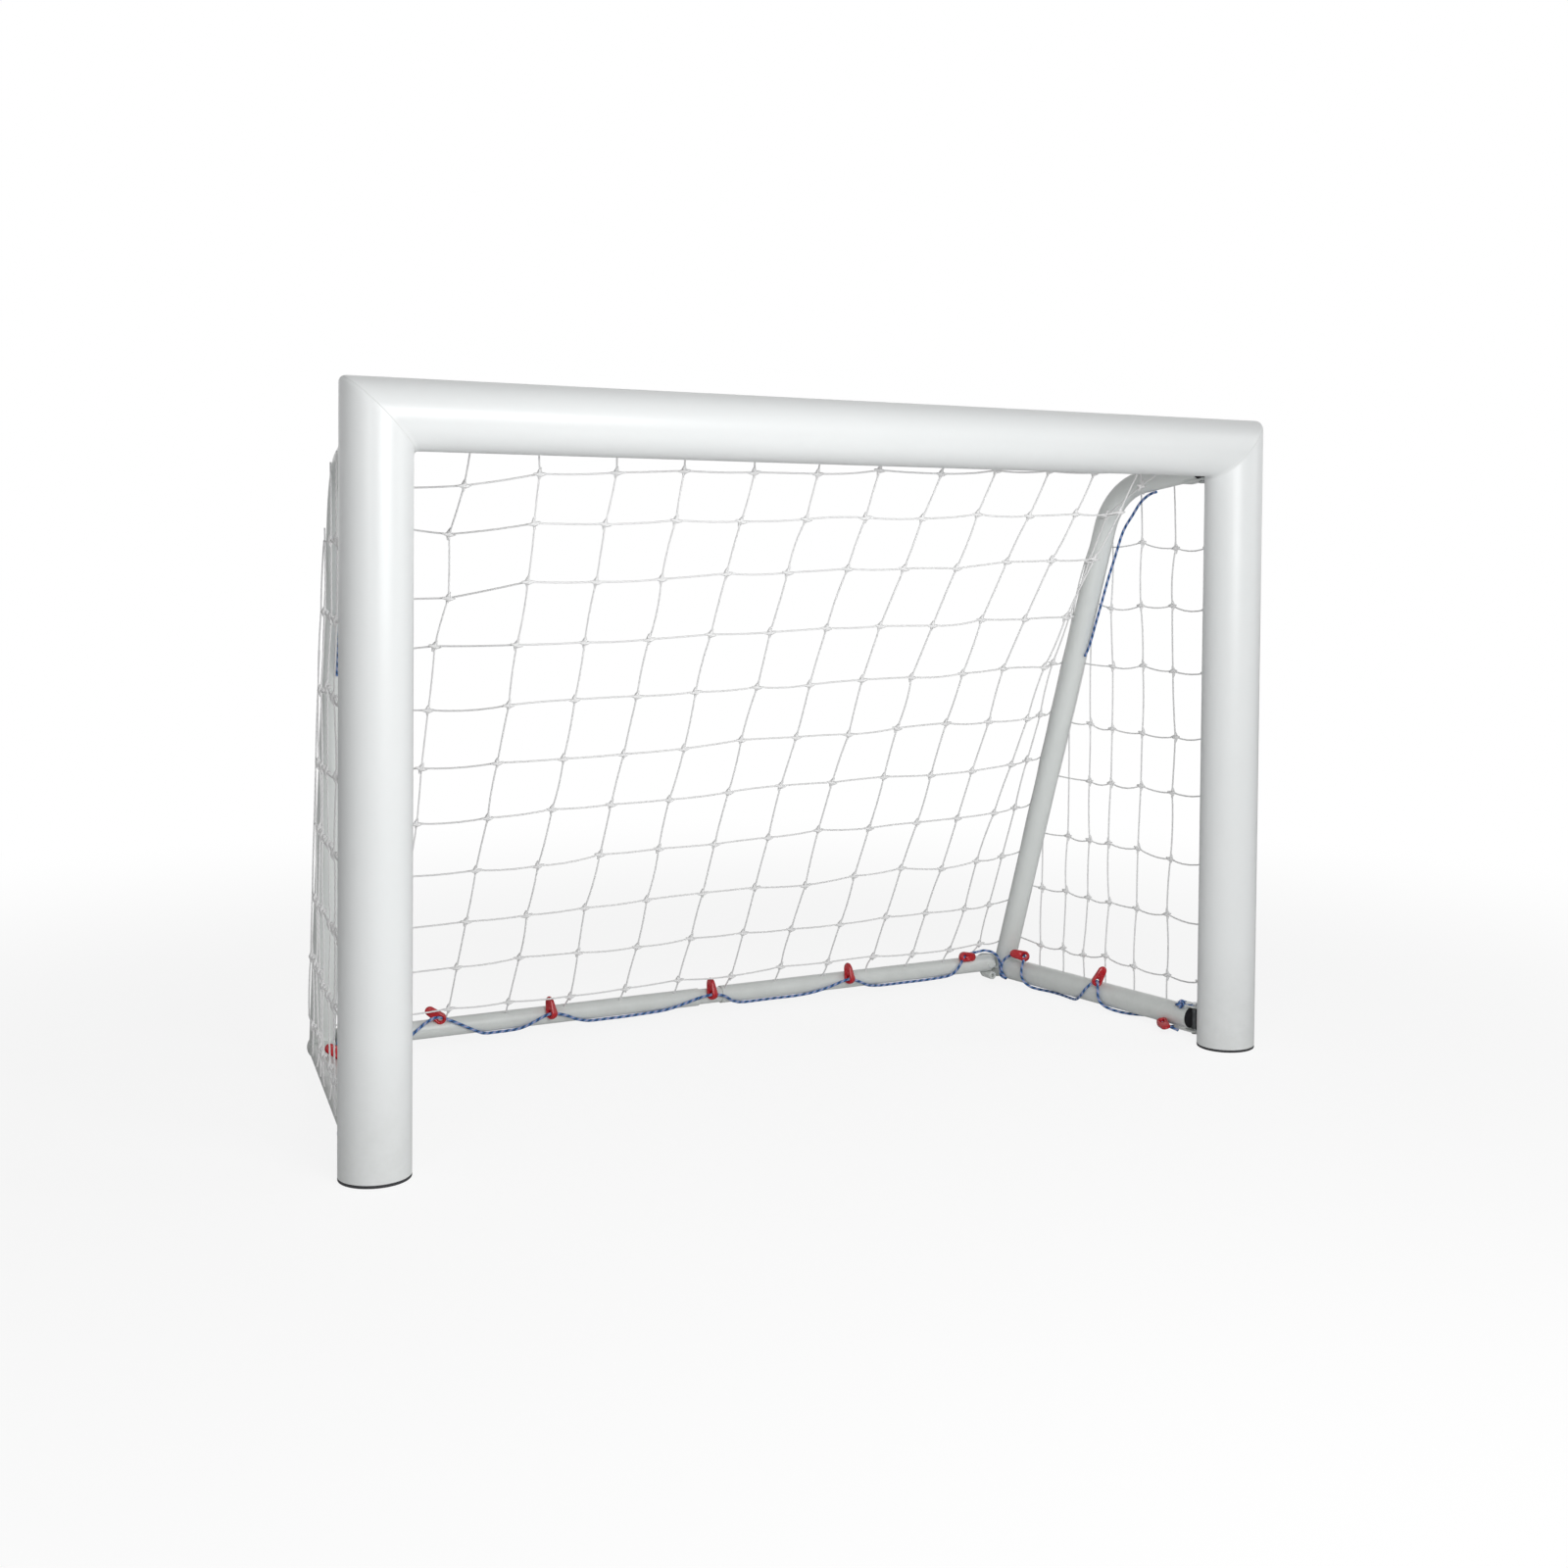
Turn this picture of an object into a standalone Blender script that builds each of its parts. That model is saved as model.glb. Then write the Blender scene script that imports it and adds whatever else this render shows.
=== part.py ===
"""Folding soccer goal with round tubes, a net held by clips and cord, and a rear bar in two halves.

Metres, +Z up. X runs along the crossbar and Y runs from the goal mouth to the back of the net.
The origin is on the floor, in the middle of the goal's footprint.

The front frame stands on two capped posts. Behind each post a vertical pair of hinges carries a side
frame: a ground bar, and one bent tube that is the top arm and the sloping leg. Each half of the rear
bar turns up on a pin at its rear corner, and the halves plug together in the middle.
"""

import math

import bmesh
import bpy
from mathutils import Matrix, Vector

# Clearance between pieces that touch or that one piece is cut to fit.
GAP = 0.0003

# Front frame
POST_SPACING = 1.80
GOAL_HEIGHT = 1.32
POST_RADIUS = 0.060
POST_WALL = 0.003
CAP_LIP = 0.005
CAP_PLUG = 0.012

# Side frames, measured back from the plane of the post axes
HINGE_BACK = 0.100
DEPTH = 0.720
# Each side frame comes in by this much on its way back, so the back is narrower than the mouth.
REAR_NARROWING = 0.088
SIDE_RADIUS = 0.025
SIDE_WALL = 0.002
SIDE_BAR_Z = 0.036
ARM_DROP = 0.096
ARM_FALL = math.radians(9.1)
LEG_LEAN = math.radians(17.3)
# The back of the leg's foot stays this far in front of the corner plate's face.
LEG_FOOT_CLEARANCE = 0.0009
BEND_RADIUS = 0.150
BEND_STEPS = 8
PLUG_LENGTH = 0.018
PLUG_RECESS = 0.001
# The leg's coped foot stands this far off the ground bar, because both are drawn with flat sides.
COPE_GAP = 0.0008

# Hinges: two ears on the tube end, a barrel on the post between them, and a bolt through all three
TUBE_SETBACK = 0.0105
EAR_REACH = 0.050
EAR_HALF_WIDTH = 0.015
EAR_THICKNESS = 0.004
EAR_BITE = 0.0005
EAR_CLEARANCE = 0.0008
BARREL_RADIUS = 0.009
BARREL_PLAY = 0.003
WEB_HALF_WIDTH = 0.004
BOLT_RADIUS = 0.005
BOLT_HEAD_RADIUS = 0.008
BOLT_HEAD_HEIGHT = 0.005
BOLT_NUT_HEIGHT = 0.004

# Rear bar: a plain half on the left, and a right half with the plug-in spigot
BAR_RADIUS = 0.019
BAR_WALL = 0.002
BAR_Z = 0.050
BAR_SOLID_END = 0.030
SEAM_X = 0.006
SEAM_GAP = 0.028
SPIGOT_PLAY = 0.0005
SPIGOT_RADIUS = BAR_RADIUS - BAR_WALL - SPIGOT_PLAY
SPIGOT_SHOWING = 0.026
SPIGOT_HIDDEN = 0.060
PIVOT_CLEARANCE = 0.0017
PIN_RADIUS = 0.005
PIN_HEAD_RADIUS = 0.009
PIN_HEAD_HEIGHT = 0.003
PIN_HEAD_NOSE = 0.0063

# Corner plates behind the rear bar, with the peg that each half of the bar comes down on
PLATE_THICKNESS = 0.005
PLATE_MARGIN = 0.002
PEG_RADIUS = 0.0095
PEG_OFFSET = 0.006
PEG_LENGTH = 0.034

# Net clips and lacing cord
CLIP_LENGTH = 0.044
CLIP_WIDTH = 0.022
CLIP_WIRE = 0.00275
CORD_RADIUS = 0.003
CORD_STEP = 0.0125
# The cord's straight steps cut across the curve of a bar, so its route runs this far clear of it.
CORD_GAP = 0.0010

# Net, as plain sheets: one outside each side frame and one half of the back on each side
NET_THICKNESS = 0.003
NET_GAP = 0.0011
NET_CREASE_X = 0.55
NET_TOP_DROP = 0.135
NET_TOP_BACK = 0.085
NET_FOOT_Z = 0.140
NET_FOOT_BACK = 0.655
NET_LEG_TOP_DROP = 0.260
NET_LEG_FOOT_Z = 0.270
NET_SIDE_FOOT_Z = 0.085
NET_SIDE_FRONT = 0.030
NET_CENTRE_GAP = 0.005
NET_ROWS = 6

# Number of flat sides that each kind of round piece is drawn with
POST_SIDES = 48
TUBE_SIDES = 24
PIN_SIDES = 16
BOLT_SIDES = 24
WIRE_SIDES = 6
END_STEPS = 5
EAR_STEPS = 8
# Edges that turn more than this are drawn sharp.
SHARP_ANGLE = math.radians(35)
EMPTY_SIZE = 0.05

# Clips on the rear bar: distance along X, angle up from the front, and radius of what it sits on
REAR_CLIPS = [
    (-0.572, 62, BAR_RADIUS), (-0.333, 25, BAR_RADIUS), (0.045, 25, SPIGOT_RADIUS),
    (0.389, 25, BAR_RADIUS), (0.711, 62, BAR_RADIUS),
]
REAR_LEFT_CLIP_NUMBERS = [1, 2]
REAR_RIGHT_CLIP_NUMBERS = [3, 4, 5]
# Clips on the ground bars: distance back from the post axes and angle up from the inner side
RIGHT_SIDE_CLIPS = [(0.652, 58), (0.393, 58)]
LEFT_SIDE_CLIPS = [(0.548, 58), (0.330, 58)]
TAIL_CLIP = (0.174, -30)
# Net hooks on the front frame: distance along the crossbar, and height up each post
CROSSBAR_HOOKS = [-0.72, -0.36, 0.0, 0.36, 0.72]
POST_HOOKS = [0.40, 0.82]
HOOK_ANGLE = math.radians(-30)

# Cord routes around a bar: place along it, angle up from its inner side, and stand-off from it.
# A clip lifts the cord off the bar, and between clips the cord drops to the bar's lower edge.
# Under the ground bars it hangs down to the floor, where the back of the goal rests on it.
LIFT = 0.008
SPIGOT_LIFT = 0.0055
FLOOR_LIFT = 0.0034
REAR_LEFT_ROUTE = [
    (-0.735, 55, 0.001), (-0.700, -20, 0), (-0.655, -60, 0), (-0.630, -5, 0), (-0.600, 45, 0.004),
    (-0.572, 62, LIFT), (-0.545, 40, 0.002), (-0.500, -18, 0), (-0.462, -75, 0), (-0.420, -65, 0),
    (-0.365, 0, 0.004), (-0.333, 25, LIFT), (-0.300, 5, 0.002), (-0.269, -35, 0), (-0.220, -80, 0),
    (-0.134, -60, 0), (-0.080, -45, 0), (-0.030, -10, 0), (-0.002, 10, 0.001),
]
REAR_RIGHT_ROUTE = [
    (0.035, 24, SPIGOT_LIFT), (0.045, 25, SPIGOT_LIFT), (0.068, 5, 0.003), (0.090, -35, 0), (0.130, -75, 0),
    (0.210, -85, 0), (0.270, -60, 0), (0.330, -20, 0.001), (0.360, 10, 0.004), (0.389, 25, LIFT),
    (0.418, 0, 0.003), (0.450, -45, 0), (0.500, -75, 0), (0.560, -78, 0), (0.620, -60, 0),
    (0.663, -46, 0), (0.688, 15, 0.002), (0.711, 62, LIFT), (0.732, 80, 0.007),
]
RIGHT_SIDE_ROUTE = [
    (0.686, -45, 0), (0.672, 20, 0.003), (0.652, 58, LIFT), (0.636, 20, 0.003), (0.622, -40, 0),
    (0.595, -80, 0.001), (0.550, -96, FLOOR_LIFT), (0.500, -98, FLOOR_LIFT), (0.455, -75, 0),
    (0.420, -10, 0.002), (0.393, 58, LIFT), (0.374, 10, 0.002), (0.358, -40, 0), (0.325, -75, 0),
    (0.270, -95, FLOOR_LIFT), (0.215, -98, FLOOR_LIFT), (0.186, -85, 0.003), (0.175, -58, 0.005),
    (0.174, -30, LIFT), (0.172, 2, 0.005), (0.160, 20, 0), (0.146, -5, 0), (0.138, -45, 0),
]
LEFT_SIDE_ROUTE = [
    (0.686, -45, 0), (0.660, -80, 0), (0.610, -75, 0), (0.578, 0, 0.003), (0.548, 58, LIFT),
    (0.520, 10, 0.002), (0.490, -60, 0), (0.440, -96, FLOOR_LIFT), (0.395, -75, 0),
    (0.358, 10, 0.003), (0.330, 58, LIFT), (0.305, 5, 0.002), (0.285, -60, 0),
    (0.250, -95, FLOOR_LIFT), (0.205, -98, FLOOR_LIFT), (0.186, -85, 0.003), (0.175, -58, 0.005),
    (0.174, -30, LIFT), (0.172, 2, 0.005), (0.160, 20, 0), (0.146, -5, 0), (0.138, -45, 0),
]
# The cord that laces the net's edge from the arm to the leg: distance back, and height
LEG_ROUTE = [
    (0.236, 1.1730), (0.258, 1.1670), (0.284, 1.1500), (0.308, 1.1220), (0.337, 1.0850),
    (0.362, 1.0260), (0.382, 0.9780), (0.400, 0.9290), (0.420, 0.8760), (0.437, 0.8300),
    (0.4535, 0.8000),
]

# Worked out from the sizes above
HALF_SPACING = POST_SPACING / 2
REAR_HALF_WIDTH = HALF_SPACING - REAR_NARROWING
CROSSBAR_Z = GOAL_HEIGHT - POST_RADIUS
ARM_Z = GOAL_HEIGHT - ARM_DROP
NET_TOP_Z = GOAL_HEIGHT - NET_TOP_DROP
NET_LEG_TOP_Z = GOAL_HEIGHT - NET_LEG_TOP_DROP
TOE_IN = math.atan2(HALF_SPACING - REAR_HALF_WIDTH, DEPTH - HINGE_BACK)
SIDE_LENGTH = (DEPTH - HINGE_BACK) / math.cos(TOE_IN)
PIVOT_X = REAR_HALF_WIDTH - SIDE_RADIUS / math.cos(TOE_IN) - BAR_RADIUS - PIVOT_CLEARANCE
PLATE_FRONT = DEPTH + BAR_RADIUS + GAP
# The leg's back line meets the top of the ground bar this far behind the leg's own axis.
LEG_HEEL = SIDE_RADIUS * (1 - math.sin(LEG_LEAN)) / math.cos(LEG_LEAN)
LEG_FOOT = (PLATE_FRONT - LEG_FOOT_CLEARANCE - LEG_HEEL - HINGE_BACK) / math.cos(TOE_IN)
PLATE_BACK = PLATE_FRONT + PLATE_THICKNESS
REAR_MOST = PLATE_BACK + GAP + PIN_HEAD_HEIGHT
MOUTH_Y = (POST_RADIUS - REAR_MOST) / 2
SIDES = {"left": -1, "right": 1}
# Names, up to the side's label, of the pieces that turn with a side frame
SIDE_PIECES = [
    "arm_and_leg_", "ground_bar_", "arm_plug_", "ground_bar_plug_", "corner_plate_", "corner_pin_",
    "stop_peg_", "side_cord_", "leg_cord_", "side_clip_", "net_side_", "net_back_",
]

UP = Vector((0, 0, 1))
ACROSS = Vector((1, 0, 0))
BACK = Vector((0, 1, 0))

# Colour, roughness and metallic value of each finish
FINISHES = {
    "white_powder_coat": ((0.83, 0.85, 0.85), 0.28, 0.0),
    "grey_powder_coat": ((0.62, 0.66, 0.65), 0.32, 0.0),
    "black_rubber": ((0.02, 0.02, 0.02), 0.75, 0.0),
    "dark_steel": ((0.10, 0.11, 0.11), 0.45, 1.0),
    "zinc_steel": ((0.55, 0.57, 0.58), 0.35, 1.0),
    "red_plastic": ((0.60, 0.01, 0.02), 0.22, 0.0),
    "blue_cord": ((0.02, 0.12, 0.38), 0.65, 0.0),
    "net_twine": ((0.75, 0.75, 0.74), 0.80, 0.0),
}


def clear_scene():
    for item in list(bpy.data.objects):
        bpy.data.objects.remove(item, do_unlink=True)


def material_for(name, finish):
    """A Principled material of its own for one sub-part."""
    colour, roughness, metallic = FINISHES[finish]
    made = bpy.data.materials.new(name + "_" + finish)
    made.use_nodes = True
    shader = made.node_tree.nodes["Principled BSDF"]
    shader.inputs["Base Color"].default_value = (*colour, 1)
    shader.inputs["Roughness"].default_value = roughness
    shader.inputs["Metallic"].default_value = metallic
    return made


def place(x, back, z):
    """A point from its distance across, its distance behind the post axes, and its height."""
    return Vector((x, back + MOUTH_Y, z))


def finish_mesh(name, bm, finish):
    """Turns a bmesh into a named object with its material, faces out, round parts smooth."""
    bmesh.ops.recalc_face_normals(bm, faces=bm.faces)
    if bm.calc_volume(signed=True) < 0:
        bmesh.ops.reverse_faces(bm, faces=bm.faces)
    mesh = bpy.data.meshes.new(name)
    bm.to_mesh(mesh)
    bm.free()
    mesh.shade_smooth()
    mesh.set_sharp_from_angle(angle=SHARP_ANGLE)
    made = bpy.data.objects.new(name, mesh)
    bpy.context.scene.collection.objects.link(made)
    if finish:
        mesh.materials.append(material_for(name, finish))
    return made


def boolean(target, helper, operation):
    """Joins or cuts a piece with a hidden helper that moves with it."""
    helper.hide_render = True
    helper.display_type = "WIRE"
    helper.parent = target
    modifier = target.modifiers.new(operation.lower() + "_" + helper.name, "BOOLEAN")
    modifier.operation = operation
    modifier.object = helper


def ring(centre, up, side, radius, count, hexagon=False):
    """Points around a centre. A hexagon's radius is the distance to its flats."""
    points = []
    for step in range(count):
        angle = 2 * math.pi * step / count
        reach = radius
        if hexagon:
            reach = radius / math.cos((angle + math.pi / 6) % (math.pi / 3) - math.pi / 6)
        points.append(centre + reach * (math.cos(angle) * up + math.sin(angle) * side))
    return points


def cap(bm, loop):
    """Closes a ring with strips between points at the same height, so a curved end stays true."""
    count = len(loop)
    for step in range(count // 2):
        opposite = [loop[(count - step - 1) % count], loop[(count - step) % count]]
        corners = [loop[step], loop[step + 1], *opposite]
        bm.faces.new(list(dict.fromkeys(corners)))


def skin(name, rings, finish, closed=False):
    """One closed body over a row of rings: joined end to start, or capped at both ends."""
    bm = bmesh.new()
    loops = [[bm.verts.new(point) for point in points] for points in rings]
    pairs = list(zip(loops, loops[1:]))
    if closed:
        pairs.append((loops[-1], loops[0]))
    for first, second in pairs:
        count = len(first)
        for step in range(count):
            after = (step + 1) % count
            bm.faces.new((first[step], first[after], second[after], second[step]))
    if not closed:
        cap(bm, loops[0])
        cap(bm, loops[-1])
    return finish_mesh(name, bm, finish)


def onto_plane(point, normal):
    """Slides a point along a direction until it reaches a plane."""
    return lambda start, way: start + way * ((point - start).dot(normal) / way.dot(normal))


def onto_cylinder(point, axis, radius, far):
    """Slides a point inside a cylinder along a direction to its near or its far wall."""

    def slide(start, way):
        offset = start - point
        offset = offset - axis * offset.dot(axis)
        across = way - axis * way.dot(axis)
        half = offset.dot(across) / across.dot(across)
        rest = (offset.dot(offset) - radius * radius) / across.dot(across)
        root = math.sqrt(max(half * half - rest, 0))
        return start + way * (root - half if far else -root - half)

    return slide


def tube(name, path, side, radius, wall, finish, count, cuts=(None, None), blind=None):
    """A hollow tube along a path that bends in one plane, whose normal is side.

    Each end may be slid onto a plane or a cylinder. A blind tube's bore stops that far before its end.
    """
    ways = []
    for index in range(len(path)):
        before = path[max(index - 1, 0)]
        after = path[min(index + 1, len(path) - 1)]
        ways.append((after - before).normalized())

    def rings_of(size, points, directions, slides):
        rings = [ring(p, side.cross(w), side, size, count) for p, w in zip(points, directions)]
        for end, slide in zip((0, -1), slides):
            if slide:
                rings[end] = [slide(point, directions[end]) for point in rings[end]]
        return rings

    outer = rings_of(radius, path, ways, cuts)
    if blind is None:
        inner = rings_of(radius - wall, path, ways, cuts)
        return skin(name, outer + inner[::-1], finish, closed=True)
    stop = path[-1] - ways[-1] * blind
    inner = rings_of(radius - wall, [path[0], stop], [ways[0], ways[-1]], (cuts[0], None))
    return skin(name, inner[::-1] + outer, finish)


def turned(name, start, way, steps, finish, count):
    """A solid turned about a line, from (distance, radius) or (distance, distance to flats, True)."""
    side = way.orthogonal().normalized()
    up = side.cross(way)
    rings = [ring(start + way * step[0], up, side, step[1], count, len(step) > 2) for step in steps]
    return skin(name, rings, finish)


def prism(name, outline, origin, u, v, normal, thickness, finish):
    """A flat plate: an outline in the u, v plane, given a thickness along the normal."""
    bm = bmesh.new()
    low = [bm.verts.new(origin + u * a + v * b) for a, b in outline]
    high = [bm.verts.new(origin + u * a + v * b + normal * thickness) for a, b in outline]
    bm.faces.new(low[::-1])
    bm.faces.new(high)
    for index in range(len(outline)):
        after = (index + 1) % len(outline)
        bm.faces.new((low[index], low[after], high[after], high[index]))
    return finish_mesh(name, bm, finish)


def arc(centre, radius, start, end, steps):
    """Points of an arc in a plane, angles in degrees."""
    angles = [math.radians(start + (end - start) * step / steps) for step in range(steps + 1)]
    return [(centre[0] + radius * math.cos(a), centre[1] + radius * math.sin(a)) for a in angles]


def hull_of_circles(circles, steps):
    """The outline of a band pulled tight around some circles, each (x, z, radius)."""
    points = []
    for x, z, radius in circles:
        points += arc((x, z), radius, 0, 360 * (steps - 1) / steps, steps - 1)
    points.sort()

    def half(ordered):
        chain = []
        for point in ordered:
            while len(chain) > 1:
                (ax, az), (bx, bz) = chain[-2:]
                if (bx - ax) * (point[1] - az) - (bz - az) * (point[0] - ax) > 0:
                    break
                chain.pop()
            chain.append(point)
        return chain

    return half(points)[:-1] + half(points[::-1])[:-1]


def side_way(sign):
    """Along a side frame, from its hinge to its rear corner."""
    return Vector((-sign * math.sin(TOE_IN), math.cos(TOE_IN), 0))


def out_way(sign):
    """Across a side frame, away from the middle of the goal."""
    return Vector((sign * math.cos(TOE_IN), math.sin(TOE_IN), 0))


def on_side(sign, along, out, z):
    """A point on a side frame, from its distance behind the hinge axis, outwards, and height."""
    return place(sign * HALF_SPACING, HINGE_BACK, z) + side_way(sign) * along + out_way(sign) * out


def along_side(back):
    """Distance along a side frame of a point that far behind the post axes."""
    return (back - HINGE_BACK) / math.cos(TOE_IN)


def frame_corner():
    """Where the arm's line meets the leg's line, in the plane of a side frame."""
    fall = math.tan(ARM_FALL)
    lean = math.tan(LEG_LEAN)
    along = (LEG_FOOT - lean * (ARM_Z - SIDE_BAR_Z)) / (1 - lean * fall)
    return along, ARM_Z - fall * along


def frame_path(start, end_z):
    """Arm, bend and leg as (distance along, height), from start down to a height on the leg."""
    corner_along, corner_z = frame_corner()
    turn = math.pi / 2 - LEG_LEAN - ARM_FALL
    reach = BEND_RADIUS * math.tan(turn / 2)
    arm = (math.cos(ARM_FALL), -math.sin(ARM_FALL))
    centre = (
        corner_along - reach * arm[0] - BEND_RADIUS * math.sin(ARM_FALL),
        corner_z - reach * arm[1] - BEND_RADIUS * math.cos(ARM_FALL),
    )
    first = 90 - math.degrees(ARM_FALL)
    bend = arc(centre, BEND_RADIUS, first, math.degrees(LEG_LEAN), BEND_STEPS)
    leg_end = LEG_FOOT - math.tan(LEG_LEAN) * (end_z - SIDE_BAR_Z)
    return [(start, ARM_Z - math.tan(ARM_FALL) * start), *bend, (leg_end, end_z)]


def make_front_frame():
    """Crossbar and posts, mitred at the corners, with rubber caps under the posts."""
    corners = []
    ends = []
    for label, sign in SIDES.items():
        corner = place(sign * HALF_SPACING, 0, CROSSBAR_Z)
        mitre = Vector((-sign, 0, 1)).normalized()
        corners.append(corner)
        ends.append(onto_plane(corner + mitre * GAP / 2, mitre))
        foot = place(sign * HALF_SPACING, 0, CAP_LIP + GAP)
        top = onto_plane(corner - mitre * GAP / 2, mitre)
        tube(
            "post_" + label, [foot, corner], BACK, POST_RADIUS, POST_WALL,
            "white_powder_coat", POST_SIDES, (None, top),
        )
        turned(
            "foot_cap_" + label, place(sign * HALF_SPACING, 0, 0), UP,
            [(0, POST_RADIUS), (CAP_LIP, POST_RADIUS), (CAP_LIP, POST_RADIUS - POST_WALL - GAP),
             (CAP_LIP + CAP_PLUG, POST_RADIUS - POST_WALL - GAP)],
            "black_rubber", POST_SIDES,
        )
    tube(
        "crossbar", corners, BACK, POST_RADIUS, POST_WALL,
        "white_powder_coat", POST_SIDES, ends,
    )


def make_hinge(label, sign, level, z, fall):
    """The barrel that is welded to the post, and the bolt through it and the tube's ears."""
    axis = place(sign * HALF_SPACING, HINGE_BACK, z)
    half = SIDE_RADIUS - EAR_BITE - BARREL_PLAY
    bottom = axis - UP * half
    lug = turned(
        "hinge_lug_" + level + "_" + label, bottom, UP,
        [(0, BARREL_RADIUS), (2 * half, BARREL_RADIUS)], "dark_steel", PIN_SIDES,
    )
    inside_post = POST_RADIUS - HINGE_BACK - BARREL_RADIUS
    web = prism(
        "web_helper_" + level + "_" + label,
        [(-WEB_HALF_WIDTH, inside_post), (WEB_HALF_WIDTH, inside_post),
         (WEB_HALF_WIDTH, 0), (-WEB_HALF_WIDTH, 0)],
        bottom, ACROSS, BACK, UP, 2 * half, None,
    )
    boolean(lug, web, "UNION")
    post = turned(
        "post_helper_" + level + "_" + label, place(sign * HALF_SPACING, 0, z - SIDE_RADIUS), UP,
        [(0, POST_RADIUS + GAP), (2 * SIDE_RADIUS, POST_RADIUS + GAP)], None, POST_SIDES,
    )
    boolean(lug, post, "DIFFERENCE")
    bore = turned(
        "bore_helper_" + level + "_" + label, bottom - UP * BOLT_HEAD_HEIGHT, UP,
        [(0, BOLT_RADIUS + GAP), (2 * half + 2 * BOLT_HEAD_HEIGHT, BOLT_RADIUS + GAP)], None, PIN_SIDES,
    )
    boolean(lug, bore, "DIFFERENCE")
    ear_top = (SIDE_RADIUS - EAR_BITE + EAR_THICKNESS) / math.cos(fall)
    seat = ear_top + BOLT_HEAD_RADIUS * math.tan(fall) + GAP
    turned(
        "hinge_bolt_" + level + "_" + label, axis - UP * (seat + BOLT_NUT_HEIGHT), UP,
        [(0, BOLT_HEAD_RADIUS, True), (BOLT_NUT_HEIGHT, BOLT_HEAD_RADIUS, True),
         (BOLT_NUT_HEIGHT, BOLT_RADIUS), (BOLT_NUT_HEIGHT + 2 * seat, BOLT_RADIUS),
         (BOLT_NUT_HEIGHT + 2 * seat, BOLT_HEAD_RADIUS, True),
         (BOLT_NUT_HEIGHT + 2 * seat + BOLT_HEAD_HEIGHT, BOLT_HEAD_RADIUS, True)],
        "zinc_steel", BOLT_SIDES,
    )


def add_ears(piece, sign, axis, way):
    """Welds two drilled ears on the end of a side tube."""
    out = out_way(sign)
    up = out.cross(way) * sign
    outline = [(EAR_REACH, -EAR_HALF_WIDTH), (EAR_REACH, EAR_HALF_WIDTH)]
    outline += arc((0, 0), EAR_HALF_WIDTH, 90, 270, EAR_STEPS)
    seat = SIDE_RADIUS - EAR_BITE
    for level, height in (("upper", seat), ("lower", -seat - EAR_THICKNESS)):
        ear = prism(
            piece.name + "_ear_helper_" + level, outline, axis + up * height,
            way, out, up, EAR_THICKNESS, None,
        )
        boolean(piece, ear, "UNION")
    reach = SIDE_RADIUS + 2 * EAR_THICKNESS
    hole = turned(
        piece.name + "_hole_helper", axis - UP * reach, UP,
        [(0, BOLT_RADIUS + EAR_CLEARANCE), (2 * reach, BOLT_RADIUS + EAR_CLEARANCE)], None, PIN_SIDES,
    )
    boolean(piece, hole, "DIFFERENCE")


def make_side_frame(label, sign):
    """The ground bar, and the bent tube that is arm and leg, coped on to the ground bar."""
    out = out_way(sign)
    way = side_way(sign)
    axis = place(sign * HALF_SPACING, HINGE_BACK, SIDE_BAR_Z)
    bar_start = axis + way * TUBE_SETBACK
    bar_end = on_side(sign, SIDE_LENGTH, 0, SIDE_BAR_Z)
    rear_plane = onto_plane(place(0, DEPTH + BAR_RADIUS, 0), BACK)
    bar = tube(
        "ground_bar_" + label, [bar_start, bar_end], out, SIDE_RADIUS, SIDE_WALL,
        "grey_powder_coat", TUBE_SIDES, (None, rear_plane),
    )
    add_ears(bar, sign, axis, way)
    turned(
        "ground_bar_plug_" + label, bar_start + way * PLUG_RECESS, way,
        [(0, SIDE_RADIUS - SIDE_WALL - GAP), (PLUG_LENGTH, SIDE_RADIUS - SIDE_WALL - GAP)],
        "black_rubber", TUBE_SIDES,
    )

    arm_axis = place(sign * HALF_SPACING, HINGE_BACK, ARM_Z)
    arm_way = way * math.cos(ARM_FALL) - UP * math.sin(ARM_FALL)
    path = [on_side(sign, along, 0, z) for along, z in frame_path(TUBE_SETBACK, SIDE_BAR_Z)]
    upright = onto_plane(path[0], way)
    cope = onto_cylinder(bar_end, way, SIDE_RADIUS + COPE_GAP, far=False)
    frame = tube(
        "arm_and_leg_" + label, path, out, SIDE_RADIUS, SIDE_WALL,
        "grey_powder_coat", TUBE_SIDES, (upright, cope),
    )
    add_ears(frame, sign, arm_axis, arm_way)
    recess = PLUG_RECESS + SIDE_RADIUS * math.tan(ARM_FALL)
    turned(
        "arm_plug_" + label, path[0] + arm_way * recess, arm_way,
        [(0, SIDE_RADIUS - SIDE_WALL - GAP), (PLUG_LENGTH, SIDE_RADIUS - SIDE_WALL - GAP)],
        "black_rubber", TUBE_SIDES,
    )
    make_hinge(label, sign, "lower", SIDE_BAR_Z, 0)
    make_hinge(label, sign, "upper", ARM_Z, ARM_FALL)


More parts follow.
